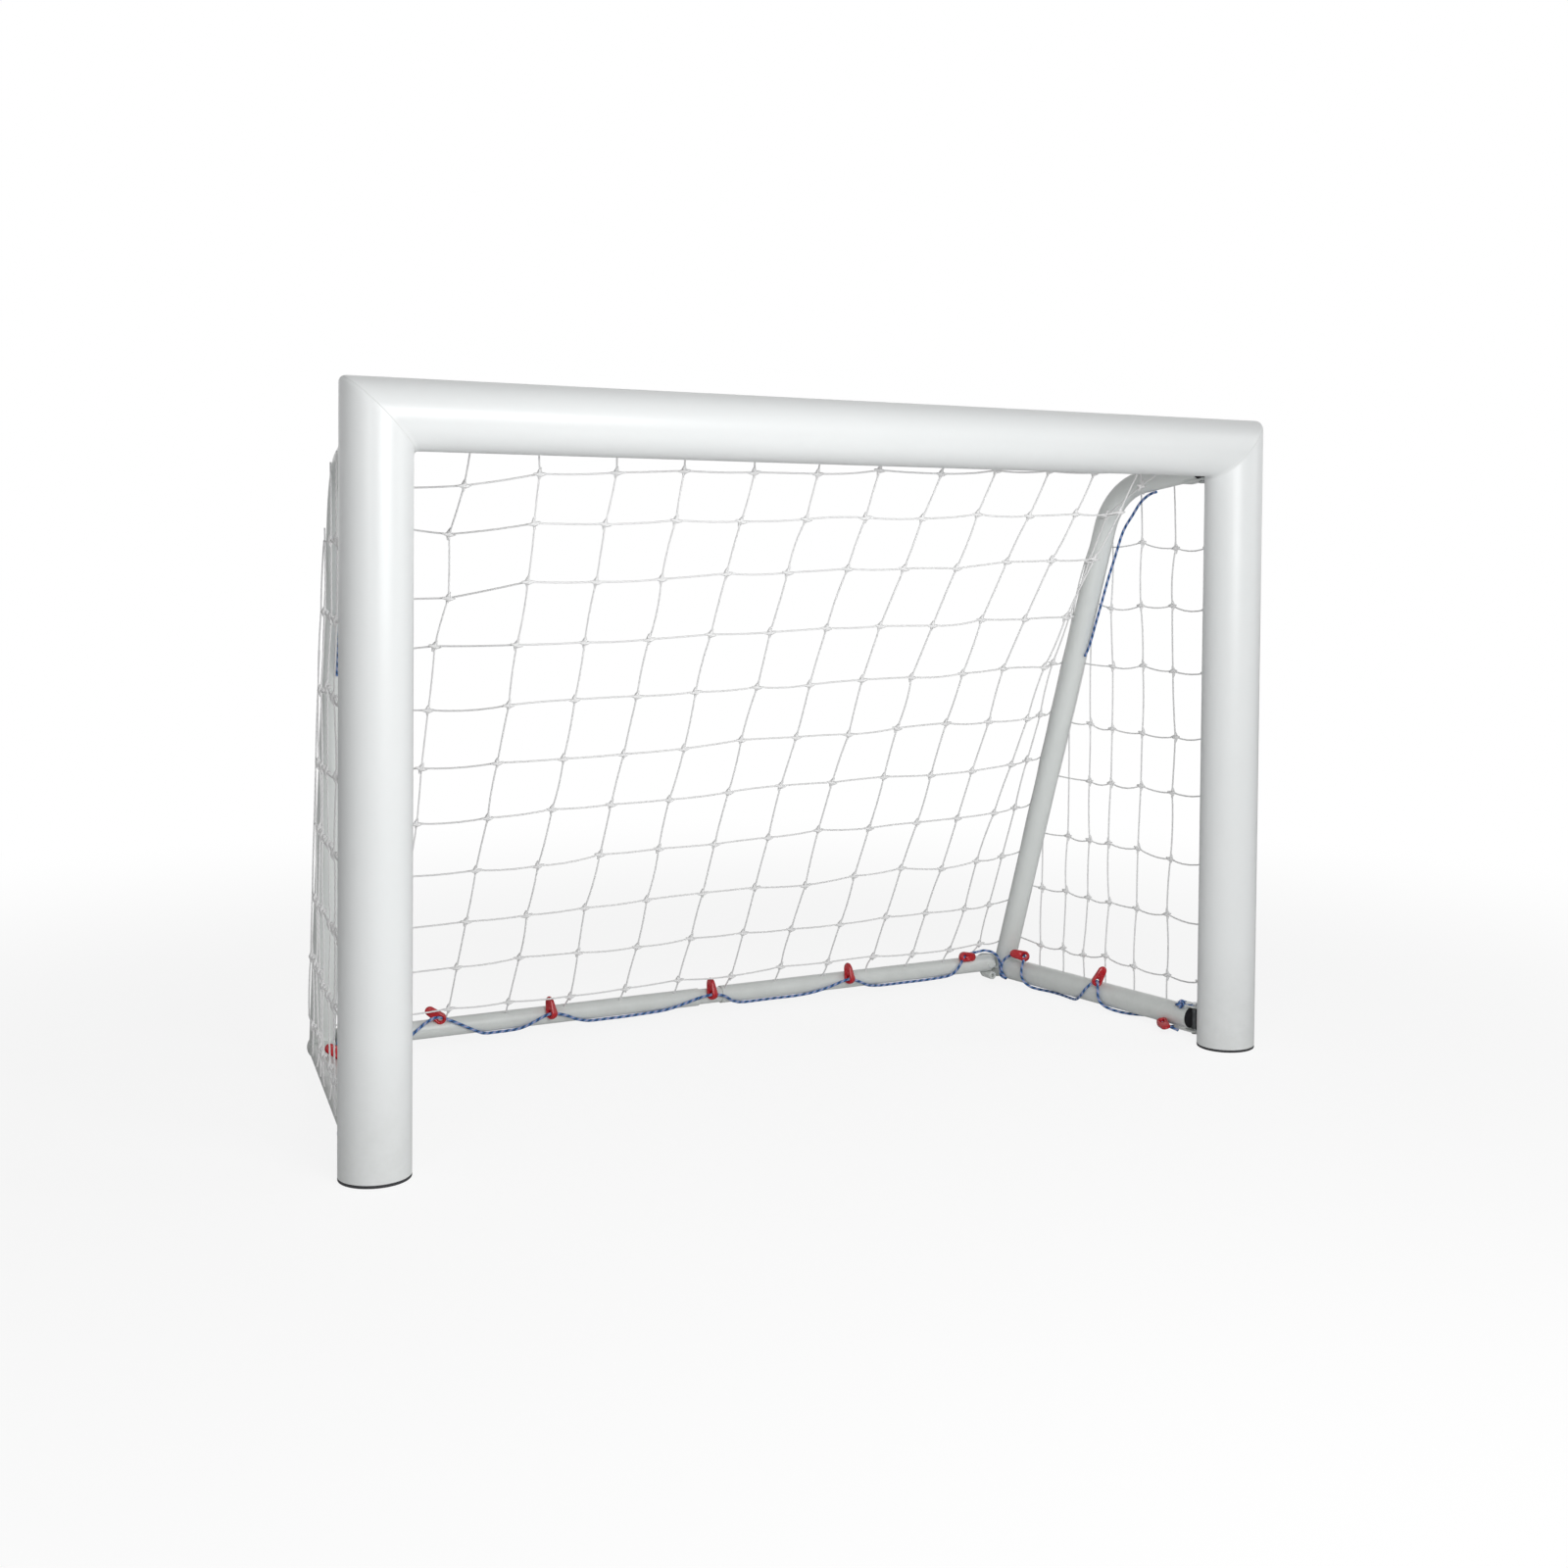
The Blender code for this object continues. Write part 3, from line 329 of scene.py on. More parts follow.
def powder_coat(name, clean, hazy, dusty, roughness, dust, weld=False):
    """Haze mixes two near whites and varies the gloss. Speckled dust fades out above the floor.

    The weld line is where the height less the distance across equals that of the corner.
    """
    material, tree, shader, coordinates = begin(name)
    metres = coordinates[METRES]
    peel = add(tree, "TexNoise", {"Vector": metres, "Scale": per_metre(PEEL_MM), "Detail": 2.0})
    haze = add(tree, "TexNoise", {
        "Vector": metres, "Scale": per_metre(HAZE_MM), "Detail": 5.0, "Roughness": 0.6,
    })
    tone = add(tree, "Mix", {FACTOR: haze, FIRST: colour(clean), SECOND: colour(hazy)}, data_type="RGBA")
    height = add(tree, "SeparateXYZ", {"Vector": metres})
    low = add(tree, "MapRange", {
        "Value": height.outputs["Z"], "From Min": SPLASH_TOP, "From Max": 0.0, "To Max": dust,
    })
    marks = add(tree, "TexNoise", {
        "Vector": metres, "Scale": per_metre(MARKS_MM), "Detail": 8.0, "Roughness": 0.7,
    })
    dirt = add(tree, "Math", {0: low, 1: marks}, operation="MULTIPLY")
    final = add(tree, "Mix", {FACTOR: dirt, FIRST: tone, SECOND: colour(dusty)}, data_type="RGBA")
    rough = add(tree, "MapRange", {
        "Value": haze, "To Min": roughness - GLOSS_DOWN, "To Max": roughness + GLOSS_UP,
    })
    relief, depth = peel, PEEL_DEPTH
    if weld:
        wide = add(tree, "Math", {0: height.outputs["X"]}, operation="ABSOLUTE")
        rise = add(tree, "Math", {0: height.outputs["Z"], 1: wide}, operation="SUBTRACT")
        off = add(tree, "Math", {0: rise, 1: CORNER_Z - HALF_SPACING}, operation="SUBTRACT")
        far = add(tree, "Math", {0: off}, operation="ABSOLUTE")
        line = add(tree, "MapRange", {
            "Value": far, "From Max": WELD_HALF_WIDTH, "To Min": 1.0, "To Max": 0.0,
        }, interpolation_type="SMOOTHSTEP")
        faint = add(tree, "Math", {0: line, 1: WELD_TINT}, operation="MULTIPLY")
        final = add(tree, "Mix", {FACTOR: faint, FIRST: final, SECOND: colour(dusty)}, data_type="RGBA")
        small = add(tree, "Math", {0: relief, 1: PEEL_DEPTH / WELD_DEPTH}, operation="MULTIPLY")
        both = add(tree, "Math", {0: small, 1: line}, operation="ADD")
        relief, depth = both, WELD_DEPTH
    bump = add(tree, "Bump", {"Height": relief, "Distance": depth, "Strength": 1.0})
    fill(tree, shader, {"Base Color": final, "Roughness": rough, "IOR": COAT_IOR, "Normal": bump})
    return material


WHITE_COAT = powder_coat(
    "gloss_white_powder_coat", "#F3F5F5", "#EEF1F1", "#C2C4C0", roughness=0.30, dust=0.5, weld=True,
)
GREY_COAT = powder_coat(
    "pale_grey_powder_coat", "#F0F4F2", "#E9EDEB", "#B4B6B1", roughness=0.30, dust=0.6,
)
print("coats:", WHITE_COAT.name, "and", GREY_COAT.name)

# %% [markdown]
# The foot caps and tube plugs are black moulded rubber, matt and slightly dusty. The clips are
# injection-moulded nylon in a glossy signal red: smooth, a little uneven in thickness, so the red
# is deeper in some places, with fine scratches that show only in the gloss.

# %% Moulded rubber and red nylon
MOULD_SPREAD = 0.06


def moulded(name, deep, bright, roughness, patch_mm, grain_mm, grain_depth):
    """Broad patches mix the two colours, and fine grain varies the gloss and makes the relief."""
    material, tree, shader, coordinates = begin(name)
    metres = coordinates[METRES]
    patch = add(tree, "TexNoise", {"Vector": metres, "Scale": per_metre(patch_mm), "Detail": 3.0})
    grain = add(tree, "TexNoise", {"Vector": metres, "Scale": per_metre(grain_mm), "Detail": 4.0})
    tone = add(tree, "Mix", {FACTOR: patch, FIRST: colour(deep), SECOND: colour(bright)}, data_type="RGBA")
    rough = add(tree, "MapRange", {
        "Value": grain, "To Min": roughness - MOULD_SPREAD, "To Max": roughness + MOULD_SPREAD,
    })
    bump = add(tree, "Bump", {"Height": grain, "Distance": grain_depth, "Strength": 1.0})
    fill(tree, shader, {"Base Color": tone, "Roughness": rough, "Normal": bump})
    return material


BLACK_RUBBER = moulded(
    "black_rubber", "#1C1D1F", "#38383C", roughness=0.62, patch_mm=40, grain_mm=1.5, grain_depth=0.00008,
)
RED_NYLON = moulded(
    "glossy_red_nylon", "#A30B1C", "#D41A26", roughness=0.20, patch_mm=16, grain_mm=3.0, grain_depth=0.00003,
)
print("moulded:", BLACK_RUBBER.name, "and", RED_NYLON.name)

# %% [markdown]
# The bolts are steel with a bright zinc plating, and the hinge barrels are darker mild steel that
# the weld has blued. Both are metals, so their colour is the colour of the reflection. Fine marks
# along the turned surface spread the highlight.

# %% Zinc-plated and welded steel
CLOUD_MM = 12.0
MARK_DEPTH = 0.00003
DULL_DOWN, DULL_UP = 0.08, 0.12


def plated(name, bright, dull, roughness, mark_mm):
    """Clouds mix the bright and the dull metal and roughen it, and fine marks make the relief."""
    material, tree, shader, coordinates = begin(name)
    metres = coordinates[METRES]
    cloud = add(tree, "TexNoise", {"Vector": metres, "Scale": per_metre(CLOUD_MM), "Detail": 5.0})
    marks = add(tree, "TexNoise", {"Vector": metres, "Scale": per_metre(mark_mm), "Detail": 2.0})
    tone = add(tree, "Mix", {FACTOR: cloud, FIRST: colour(bright), SECOND: colour(dull)}, data_type="RGBA")
    rough = add(tree, "MapRange", {
        "Value": cloud, "To Min": roughness - DULL_DOWN, "To Max": roughness + DULL_UP,
    })
    bump = add(tree, "Bump", {"Height": marks, "Distance": MARK_DEPTH, "Strength": 1.0})
    fill(tree, shader, {"Base Color": tone, "Roughness": rough, "Metallic": 1.0, "Normal": bump})
    return material


ZINC_STEEL = plated("zinc_plated_steel", "#C9CBCC", "#8E9294", roughness=0.34, mark_mm=0.8)
DARK_STEEL = plated("dark_welded_steel", "#6E7172", "#3B3D3F", roughness=0.42, mark_mm=1.6)
print("steels:", ZINC_STEEL.name, "and", DARK_STEEL.name)

# %% [markdown]
# The lacing cord is a braid: strands of blue polypropylene cross each other, and a navy tracer strand
# runs through them. A pale lavender strand is partly a pale tracer and partly painted sheen, the look
# of white light reflected off the cord. The blue is painted darker in the hollows between the strands
# and lighter on their crossings, as painted shade. The pattern follows the cord, so it reads the UV
# map, whose first value goes round the cord and whose second runs along it in metres. Two sets of
# slanting lines, one for each direction of the strands, give the diamonds of the braid.

# %% Braided blue cord
BRAID_MM = 9.0
STRANDS_ROUND = 4.0
NAVY_FROM, NAVY_TO = 0.72, 0.9
LAVENDER_SHEEN_FROM, LAVENDER_SHEEN_TO = -0.2, -0.6
BRAID_DEPTH = 0.0006


def braided_cord():
    """Weave = sin(run + 4 turns) * sin(run - 4 turns), which also sets the painted shade between
    strands; the navy tracer and the lavender painted sheen follow sin(run / 2 + turn).
    """
    material, tree, shader, coordinates = begin("braided_polypropylene_cord")
    parts = add(tree, "SeparateXYZ", {"Vector": coordinates["UV"]})
    turn = add(tree, "Math", {0: parts.outputs["X"], 1: 2 * math.pi}, operation="MULTIPLY")
    rate = 2 * math.pi * per_metre(BRAID_MM)
    run = add(tree, "Math", {0: parts.outputs["Y"], 1: rate}, operation="MULTIPLY")
    turns = add(tree, "Math", {0: turn, 1: STRANDS_ROUND}, operation="MULTIPLY")
    forth = add(tree, "Math", {0: run, 1: turns}, operation="ADD")
    back = add(tree, "Math", {0: run, 1: turns}, operation="SUBTRACT")
    ridge = add(tree, "Math", {0: forth}, operation="SINE")
    cross = add(tree, "Math", {0: back}, operation="SINE")
    weave = add(tree, "Math", {0: ridge, 1: cross}, operation="MULTIPLY")
    lift = add(tree, "MapRange", {"Value": weave, "From Min": -1.0})
    slow = add(tree, "Math", {0: run, 1: 0.5}, operation="MULTIPLY")
    lead = add(tree, "Math", {0: slow, 1: turn}, operation="ADD")
    wave = add(tree, "Math", {0: lead}, operation="SINE")
    # Painted shade: the blue is darker in the hollows of the weave and lighter on its raised crossings.
    tone = add(tree, "Mix", {
        FACTOR: lift, FIRST: colour("#235FA3"), SECOND: colour("#4D8ECB"),
    }, data_type="RGBA")
    # The navy is a tracer strand. The lavender is partly a pale tracer and partly painted sheen of white
    # light on the cord.
    for tracer, start, end in (("#20295C", NAVY_FROM, NAVY_TO), ("#A3A9CE", LAVENDER_SHEEN_FROM, LAVENDER_SHEEN_TO)):
        share = add(tree, "MapRange", {"Value": wave, "From Min": start, "From Max": end})
        tone = add(tree, "Mix", {FACTOR: share, FIRST: tone, SECOND: colour(tracer)}, data_type="RGBA")
    bump = add(tree, "Bump", {"Height": lift, "Distance": BRAID_DEPTH, "Strength": 1.0})
    fill(tree, shader, {"Base Color": tone, "Roughness": 0.62, "Sheen Weight": 0.2, "Normal": bump})
    return material


BLUE_CORD = braided_cord()
print("cord:", BLUE_CORD.name, "with a repeat every", BRAID_MM, "mm")

# %% [markdown]
# The net is knotted from twisted white polyethylene twine about 3 mm thick. A twist shows as lines
# that climb round the string, here one turn every 12 mm, and the white is painted a little grey in
# the grooves, as painted shade. The twist is drawn coarser than the real 6 mm so that it still shows
# from far off.

# %% Twisted net twine
TWIST_MM = 12.0
PLIES = 3
TWIST_DEPTH = 0.0003


def twisted_twine():
    """Height = sin(plies * turn + run), so the ridges climb round the string."""
    material, tree, shader, coordinates = begin("twisted_polyethylene_twine")
    parts = add(tree, "SeparateXYZ", {"Vector": coordinates["UV"]})
    turn = add(tree, "Math", {0: parts.outputs["X"], 1: PLIES * 2 * math.pi}, operation="MULTIPLY")
    rate = 2 * math.pi * per_metre(TWIST_MM)
    run = add(tree, "Math", {0: parts.outputs["Y"], 1: rate}, operation="MULTIPLY")
    climb = add(tree, "Math", {0: turn, 1: run}, operation="ADD")
    wave = add(tree, "Math", {0: climb}, operation="SINE")
    lift = add(tree, "MapRange", {"Value": wave, "From Min": -1.0})
    # Painted shade: the white is greyer in the grooves of the twist, where the height is low.
    tone = add(tree, "Mix", {
        FACTOR: lift, FIRST: colour("#EFEFEF"), SECOND: colour("#FDFDFD"),
    }, data_type="RGBA")
    bump = add(tree, "Bump", {"Height": lift, "Distance": TWIST_DEPTH, "Strength": 1.0})
    fill(tree, shader, {"Base Color": tone, "Roughness": 0.75, "Normal": bump})
    return material


NET_TWINE = twisted_twine()
print("materials", len(bpy.data.materials))

# %% [markdown]
# The mouth frame is one welded tube: up a post, along the crossbar and down the other post. Think
# of the tube as a bundle of straight lines. Each line, at its own offset outwards, goes up, across
# and down, and turns each corner on a small radius, where the weld was ground smooth. One surface
# through all the lines has no seam, and the mitre weld is left to the material.

# %% Mouth frame
POST_COLUMNS = 96
CORNER_RADIUS, CORNER_ROWS = 0.009, 9
EDGE_BREAK = 0.0006
POST_ROWS = np.array([0, EDGE_BREAK, 0.02, 0.3, 0.6, 0.9, 1.1])
BEAM_ROWS = np.array([0.6, 0.3])


def mouth_frame():
    """Line at offset u out and v back: x = -(spacing + u), up to z = corner + u, then across.

    The corner is a quarter circle that touches both straight parts. The right half is the left
    half mirrored, in the opposite order.
    """
    angle = np.arange(POST_COLUMNS) * 2 * np.pi / POST_COLUMNS
    rise = CAP_LIP + GAP + POST_ROWS[:, None]
    size = np.full(POST_ROWS.shape, POST_RADIUS)
    size[0] -= EDGE_BREAK
    u = size[:, None] * np.cos(angle)
    v = size[:, None] * np.sin(angle)
    post = np.stack([-(HALF_SPACING + u), v, np.broadcast_to(rise, u.shape)], -1)
    u, v = POST_RADIUS * np.cos(angle), POST_RADIUS * np.sin(angle)
    turn = np.linspace(0, np.pi / 2, CORNER_ROWS)[:, None]
    bend = np.stack(np.broadcast_arrays(
        -(HALF_SPACING + u) + CORNER_RADIUS * (1 - np.cos(turn)), v,
        CORNER_Z + u - CORNER_RADIUS * (1 - np.sin(turn)),
    ), -1)
    beam = np.stack(np.broadcast_arrays(-BEAM_ROWS[:, None], v, CORNER_Z + u), -1)
    left = np.concatenate([post, bend, beam])
    middle = np.stack([0 * u, v, CORNER_Z + u], -1)[None]
    points = np.concatenate([left, middle, left[::-1] * (-1, 1, 1)])
    points[..., 1] += MOUTH_Y
    return points[None]


skin(
    "mouth_frame_tube", mouth_frame(), WHITE_COAT, "front_frame", slot="white_powder_coat",
    replaces=("crossbar", "post_left", "post_right"),
)
print("mouth frame", POST_COLUMNS, "lines round")

# %% [markdown]
# Caps, pins, pegs, bolts and plugs are all turned shapes: a short list of distances and radii spun
# about a line. Rounding the list's corners is what makes them look moulded or machined. A hexagon
# head is the same shape again, with each radius cut back to six flat sides, so its chamfer comes
# from the round part that is left.

# %% Turned shapes
ASKEW, STEEP = (0.31, 0.22, 0.93), 0.9
TIP = 0.0004


def turned(name, start, way, profile, material, body, count=48, flats=0.0, **marks):
    """Point = start + way * distance + radius * (cos a * up + sin a * side).

    Where flats is given, the radius is at most flats / cos(a's distance from the middle of a side).
    """
    profile = np.asarray(profile, float)
    way = unit(np.asarray(way, float))
    side = unit(np.cross(way, ASKEW if abs(way[2]) < STEEP else ACROSS))
    up = np.cross(side, way)
    angle = np.arange(count) * 2 * np.pi / count
    radius = np.broadcast_to(profile[:, 1, None], (len(profile), count))
    if np.any(flats):
        hexagon = np.reshape(flats, (-1, 1)) / np.cos(angle % (np.pi / 3) - np.pi / 6)
        radius = np.where(hexagon > 0, np.minimum(radius, hexagon), radius)
    wheel = np.cos(angle)[:, None] * up + np.sin(angle)[:, None] * side
    points = start + profile[:, 0, None, None] * way + radius[..., None] * wheel
    return skin(name, points[None], material, body, **marks)


def rounded(distance, radius, fillet, turn_in, steps=5):
    """Rows of a quarter-circle corner, either closing towards the line or opening from it."""
    angle = np.linspace(0, np.pi / 2, steps)
    rise, swing = fillet * np.sin(angle), fillet * np.cos(angle)
    if turn_in:
        return [*zip(distance - fillet + rise, radius - fillet + swing)]
    return [*zip(distance + fillet - swing, radius - fillet + rise)]


print("a rounded corner has", len(rounded(0, POST_RADIUS, TIP, True)), "rows")

# %% [markdown]
# Under each post sits a moulded rubber cap: a lip as wide as the post, rounded where it meets the
# floor, and a plug that is pushed up inside the tube.

# %% Foot caps
FLOOR_FILLET, LIP_FILLET = 0.0016, 0.0009
CAP_PLUG_RADIUS, CAP_PLUG_RISE, CAP_PLUG_CHAMFER = 0.0567, 0.012, 0.001

cap_profile = [
    (0, 0.02), (0, 0.05),
    *rounded(0, POST_RADIUS, FLOOR_FILLET, False), *rounded(CAP_LIP, POST_RADIUS, LIP_FILLET, True),
    (CAP_LIP, CAP_PLUG_RADIUS), (CAP_LIP + CAP_PLUG_RISE - CAP_PLUG_CHAMFER, CAP_PLUG_RADIUS),
    (CAP_LIP + CAP_PLUG_RISE, CAP_PLUG_RADIUS - CAP_PLUG_CHAMFER),
]
for label, sign in SIDES.items():
    turned(
        "moulded_foot_cap_" + label, place(sign * HALF_SPACING, 0, 0), UP, cap_profile, BLACK_RUBBER,
        "front_frame", count=POST_COLUMNS, slot="black_rubber", replaces=("foot_cap_" + label,),
    )
print("foot caps with a", CAP_LIP * 1000, "mm lip")

# %% [markdown]
# The side frames are thin tube too. A tube with an open end needs its wall: the surface starts a
# little way inside, comes out to the rim, turns over it and runs along the outside. The ends are
# cut to what they meet, so each point of an end row slides along the tube to a plane or to the
# round side of another tube.

# %% Tubes with a wall and a cut end
TUBE_COLUMNS = 48
RIM = 0.0005
INSIDE = 0.020


def to_plane(points, way, spot, normal):
    """Slides points along the way until (point - spot) is square to the plane's normal."""
    return points + way * (((spot - points) @ normal) / (way @ normal))[..., None]


def to_round(points, way, spot, axis, radius):
    """Slides points along the way to the near side of a round bar: a quadratic in the distance."""
    offset = points - spot
    offset = offset - (offset @ axis)[..., None] * axis
    across = way - axis * (way @ axis)
    half = (offset @ across) / (across @ across)
    rest = ((offset**2).sum(-1) - radius**2) / (across @ across)
    return points + way * (-half - np.sqrt(np.maximum(half**2 - rest, 0)))[..., None]


def open_tube(path, hint, radius, wall, mouth_normal):
    """Rows: inside wall, rim, outside. The first rows are cut square to the mouth's normal."""
    first = unit(path[1] - path[0])
    lead = np.array([INSIDE, RIM, 0, 0, RIM])[:, None] * first + path[0]
    sizes = [radius - wall, radius - wall, radius - wall + RIM, radius - RIM, radius]
    centres = np.concatenate([lead, path[1:]])
    ways = np.concatenate([np.repeat(first[None], len(lead), 0), unit(np.gradient(path, axis=0))[1:]])
    radii = np.concatenate([sizes, np.full(len(path) - 1, radius)])
    rows = carry(centres[None], hint, radii[None], TUBE_COLUMNS, way=ways[None])[0]
    for row in range(len(lead)):
        rows[row] = to_plane(rows[row], first, centres[row], mouth_normal)
    return rows


print("open tubes have", TUBE_COLUMNS, "lines round and show", INSIDE * 1000, "mm of their inside")

# %% [markdown]
# Welds are what joins these tubes, so they are drawn: a bead of metal with one ripple for each time
# the welder paused. It is a round profile carried along the joint, whose radius swells and shrinks.
# Powder coat covers it like the rest.

# %% Weld beads
RIPPLE_MM = 3.2
RIPPLE_SWELL = 0.13
BEAD_SIDES = 8
END_SHARE = 0.15
COPE_BEAD, PLATE_BEAD, EAR_BEAD, WEB_BEAD = 0.0026, 0.0017, 0.0024, 0.0022
COPE_COLUMNS = 120


def weld(name, path, hint, radius, material, body, ring=False):
    """Radius = mean * (1 + swell * cos(distance along * 2 pi / ripple)), smaller towards open ends."""
    steps = np.linalg.norm(np.diff(path, axis=0), axis=-1)
    along = np.concatenate([[0], steps.cumsum()])
    swell = radius * (1 + RIPPLE_SWELL * np.cos(along * 2 * np.pi * per_metre(RIPPLE_MM)))
    if not ring:
        swell = swell * np.sqrt(np.clip(np.minimum(along, along[-1] - along) / radius, END_SHARE, 1))
    skin(name, carry(path[None], hint, swell[None], BEAD_SIDES, ring=ring), material, body, ring=ring)


print("weld beads ripple every", RIPPLE_MM, "mm")

# %% [markdown]
# Each side has one bent tube, which is the top arm and the sloping leg, and a ground bar that the
# leg is welded on to. The leg's foot is cut to the round of the ground bar, which is called a cope.

# %% The line of the arm and the leg
PLATE_FRONT = DEPTH + BAR_RADIUS + GAP
WELD_ROOM = 0.0009
LEG_HEEL = SIDE_RADIUS * (1 - math.sin(LEG_LEAN)) / math.cos(LEG_LEAN)
LEG_FOOT = (PLATE_FRONT - WELD_ROOM - LEG_HEEL - HINGE_BACK) / math.cos(TOE_IN)
BAR_END = (DEPTH + BAR_RADIUS - HINGE_BACK) / math.cos(TOE_IN)
ARM_ROWS = np.array([TUBE_SETBACK, 0.05])
LEG_ROWS = np.array([0.8, 0.4, 0.03, 0.0])
BEND_ROWS = 25


def frame_path(sign):
    """Arm, a bend of constant radius, and leg, as points in the side frame's own plane."""
    fall, lean = math.tan(ARM_FALL), math.tan(LEG_LEAN)
    corner = (LEG_FOOT - lean * (ARM_Z - SIDE_BAR_Z)) / (1 - lean * fall)
    corner_z = ARM_Z - fall * corner
    reach = BEND_RADIUS * math.tan((math.pi / 2 - LEG_LEAN - ARM_FALL) / 2)
    centre = corner - reach * math.cos(ARM_FALL) - BEND_RADIUS * math.sin(ARM_FALL)
    centre_z = corner_z + reach * math.sin(ARM_FALL) - BEND_RADIUS * math.cos(ARM_FALL)
    turn = np.linspace(math.pi / 2 - ARM_FALL, LEG_LEAN, BEND_ROWS)
    along = np.concatenate([ARM_ROWS, centre + BEND_RADIUS * np.cos(turn), LEG_FOOT - lean * LEG_ROWS])
    z = np.concatenate([
        ARM_Z - fall * ARM_ROWS, centre_z + BEND_RADIUS * np.sin(turn), SIDE_BAR_Z + LEG_ROWS,
    ])
    return on_side(sign, along, 0, z)


print("leg foot", round(LEG_FOOT, 4), "m along the ground bar")

# %% [markdown]
# The tubes are skinned along their lines and cut. A bead then follows each cut end: the same ring
# of points, a little wider than the tube, slid on to what the tube meets.

# %% Side frames
BAR_ROWS = np.array([TUBE_SETBACK, 0.06, 0.2, 0.4, BAR_END])
COPE_OUT, COPE_UP = 0.0008, 0.0006

for label, sign in SIDES.items():
    body, way, out = "side_" + label, side_way(sign), out_way(sign)
    path = frame_path(sign)
    rows = open_tube(path, out, SIDE_RADIUS, SIDE_WALL, way)
    leg = unit(path[-1] - path[-2])
    foot = on_side(sign, BAR_END, 0, SIDE_BAR_Z)[0]
    rows[-1] = to_round(rows[-1], leg, foot, way, SIDE_RADIUS + GAP)
    skin(
        "bent_side_tube_" + label, rows[None], GREY_COAT, body, slot="grey_powder_coat",
        replaces=("arm_and_leg_" + label,),
    )
    cope = carry(path[None, -2:], out, SIDE_RADIUS + COPE_OUT, COPE_COLUMNS, way=leg)[0, 1]
    cope = to_round(cope, leg, foot, way, SIDE_RADIUS + COPE_UP)
    weld("cope_weld_" + label, cope, leg, COPE_BEAD, GREY_COAT, body, ring=True)

    bar = on_side(sign, BAR_ROWS, 0, SIDE_BAR_Z)
    rows = open_tube(bar, out, SIDE_RADIUS, SIDE_WALL, way)
    rows[-1] = to_plane(rows[-1], way, foot, BACK)
    skin(
        "ground_tube_" + label, rows[None], GREY_COAT, body, slot="grey_powder_coat",
        replaces=("ground_bar_" + label,),
    )
    edge = carry(bar[None, -2:], out, SIDE_RADIUS + GAP, COPE_COLUMNS, way=way)[0, 1]
    edge = to_plane(edge, way, foot - COPE_UP * BACK, BACK)
    weld("plate_weld_" + label, edge, way, PLATE_BEAD, GREY_COAT, body, ring=True)
print("side frames", len(SIDES), "with", len(path), "rows in each bent tube")

# %% [markdown]
# Hinge ears and corner plates are flat steel with broken edges, cut to the shortest outline around
# what they hold. A band pulled tight round some circles gives that outline: for each direction, the
# circle that reaches furthest that way gives the point. The plate is then one ring of faces between
# this outline and the hole for the pin, and the same directions are used for both.

# %% Flat plates
PLATE_STEPS, PLATE_BEND_STEPS, HOLE_ROWS = 96, 4, 4
PLATE_EDGE = 0.0008


def plate(name, circles, hole, thickness, origin, u, v, w, material, body, **marks):
    """Outline point = centre + radius * n, of the circle with the largest centre . n + radius.

    The section goes up the hole, over the face, round the outer edge and back underneath.
    """
    circles = np.asarray(circles, float)
    angle = np.arange(PLATE_STEPS) * 2 * np.pi / PLATE_STEPS
    n = np.stack([np.cos(angle), np.sin(angle)], -1)
    best = circles[np.argmax(n @ circles[:, :2].T + circles[:, 2], axis=1)]
    bend = np.linspace(0, np.pi / 2, PLATE_BEND_STEPS)
    e, t = PLATE_EDGE, thickness
    inset = np.concatenate([[e, 0, 0, e], e - e * np.sin(bend), e - e * np.cos(bend)])
    height = np.concatenate([[0, e, t - e, t], t - e + e * np.cos(bend), e - e * np.sin(bend)])
    in_hole = np.arange(len(inset)) < HOLE_ROWS
    middle = np.where(in_hole[:, None], hole[:2], best[:, None, :2])
    reach = np.where(in_hole, hole[2] + inset, best[:, None, 2] - inset)
    flat = middle + reach[..., None] * n[:, None]
    points = origin + flat[..., :1] * u + flat[..., 1:] * v + height[:, None] * w
    return skin(name, points[None], material, body, ring=True, **marks)


print("plates have", PLATE_STEPS, "steps round")

# %% [markdown]
# Two ears hold each hinge bolt, above and below the end of the tube, and a bead of weld runs down
# both their sides and across the end. The rear corner plate closes the end of the ground bar and
# takes the rear bar's pin and the peg that the bar rests on.

# %% Hinge ears and corner plates
EAR_HALF_WIDTH, EAR_REACH, EAR_THICKNESS = 0.015, 0.050, 0.004
EAR_CORNER = 0.003
EAR_HOLE_PLAY = 0.0008
EAR_WELD_HALF, EAR_WELD_RUN, EAR_WELD_OUT, EAR_WELD_STEPS = 0.0112, 0.036, 0.001, 61
END_BEAD_SHARE = 1 / 2.2
PLATE_THICKNESS, PLATE_BORDER = 0.005, 0.002
BAR_END_ROOM = 0.0017
EAR_SEAT = SIDE_RADIUS - 0.0005
PIN_RADIUS = 0.005
PIVOT_X = REAR_HALF_WIDTH - SIDE_RADIUS / math.cos(TOE_IN) - BAR_RADIUS - BAR_END_ROOM
PEG_RADIUS, PEG_OFFSET = 0.0095, 0.006
PEG_Z = BAR_Z - BAR_RADIUS - GAP - PEG_RADIUS
ear_circles = [
    (0, 0, EAR_HALF_WIDTH), (EAR_REACH - EAR_CORNER, EAR_HALF_WIDTH - EAR_CORNER, EAR_CORNER),
    (EAR_REACH - EAR_CORNER, EAR_CORNER - EAR_HALF_WIDTH, EAR_CORNER),
]
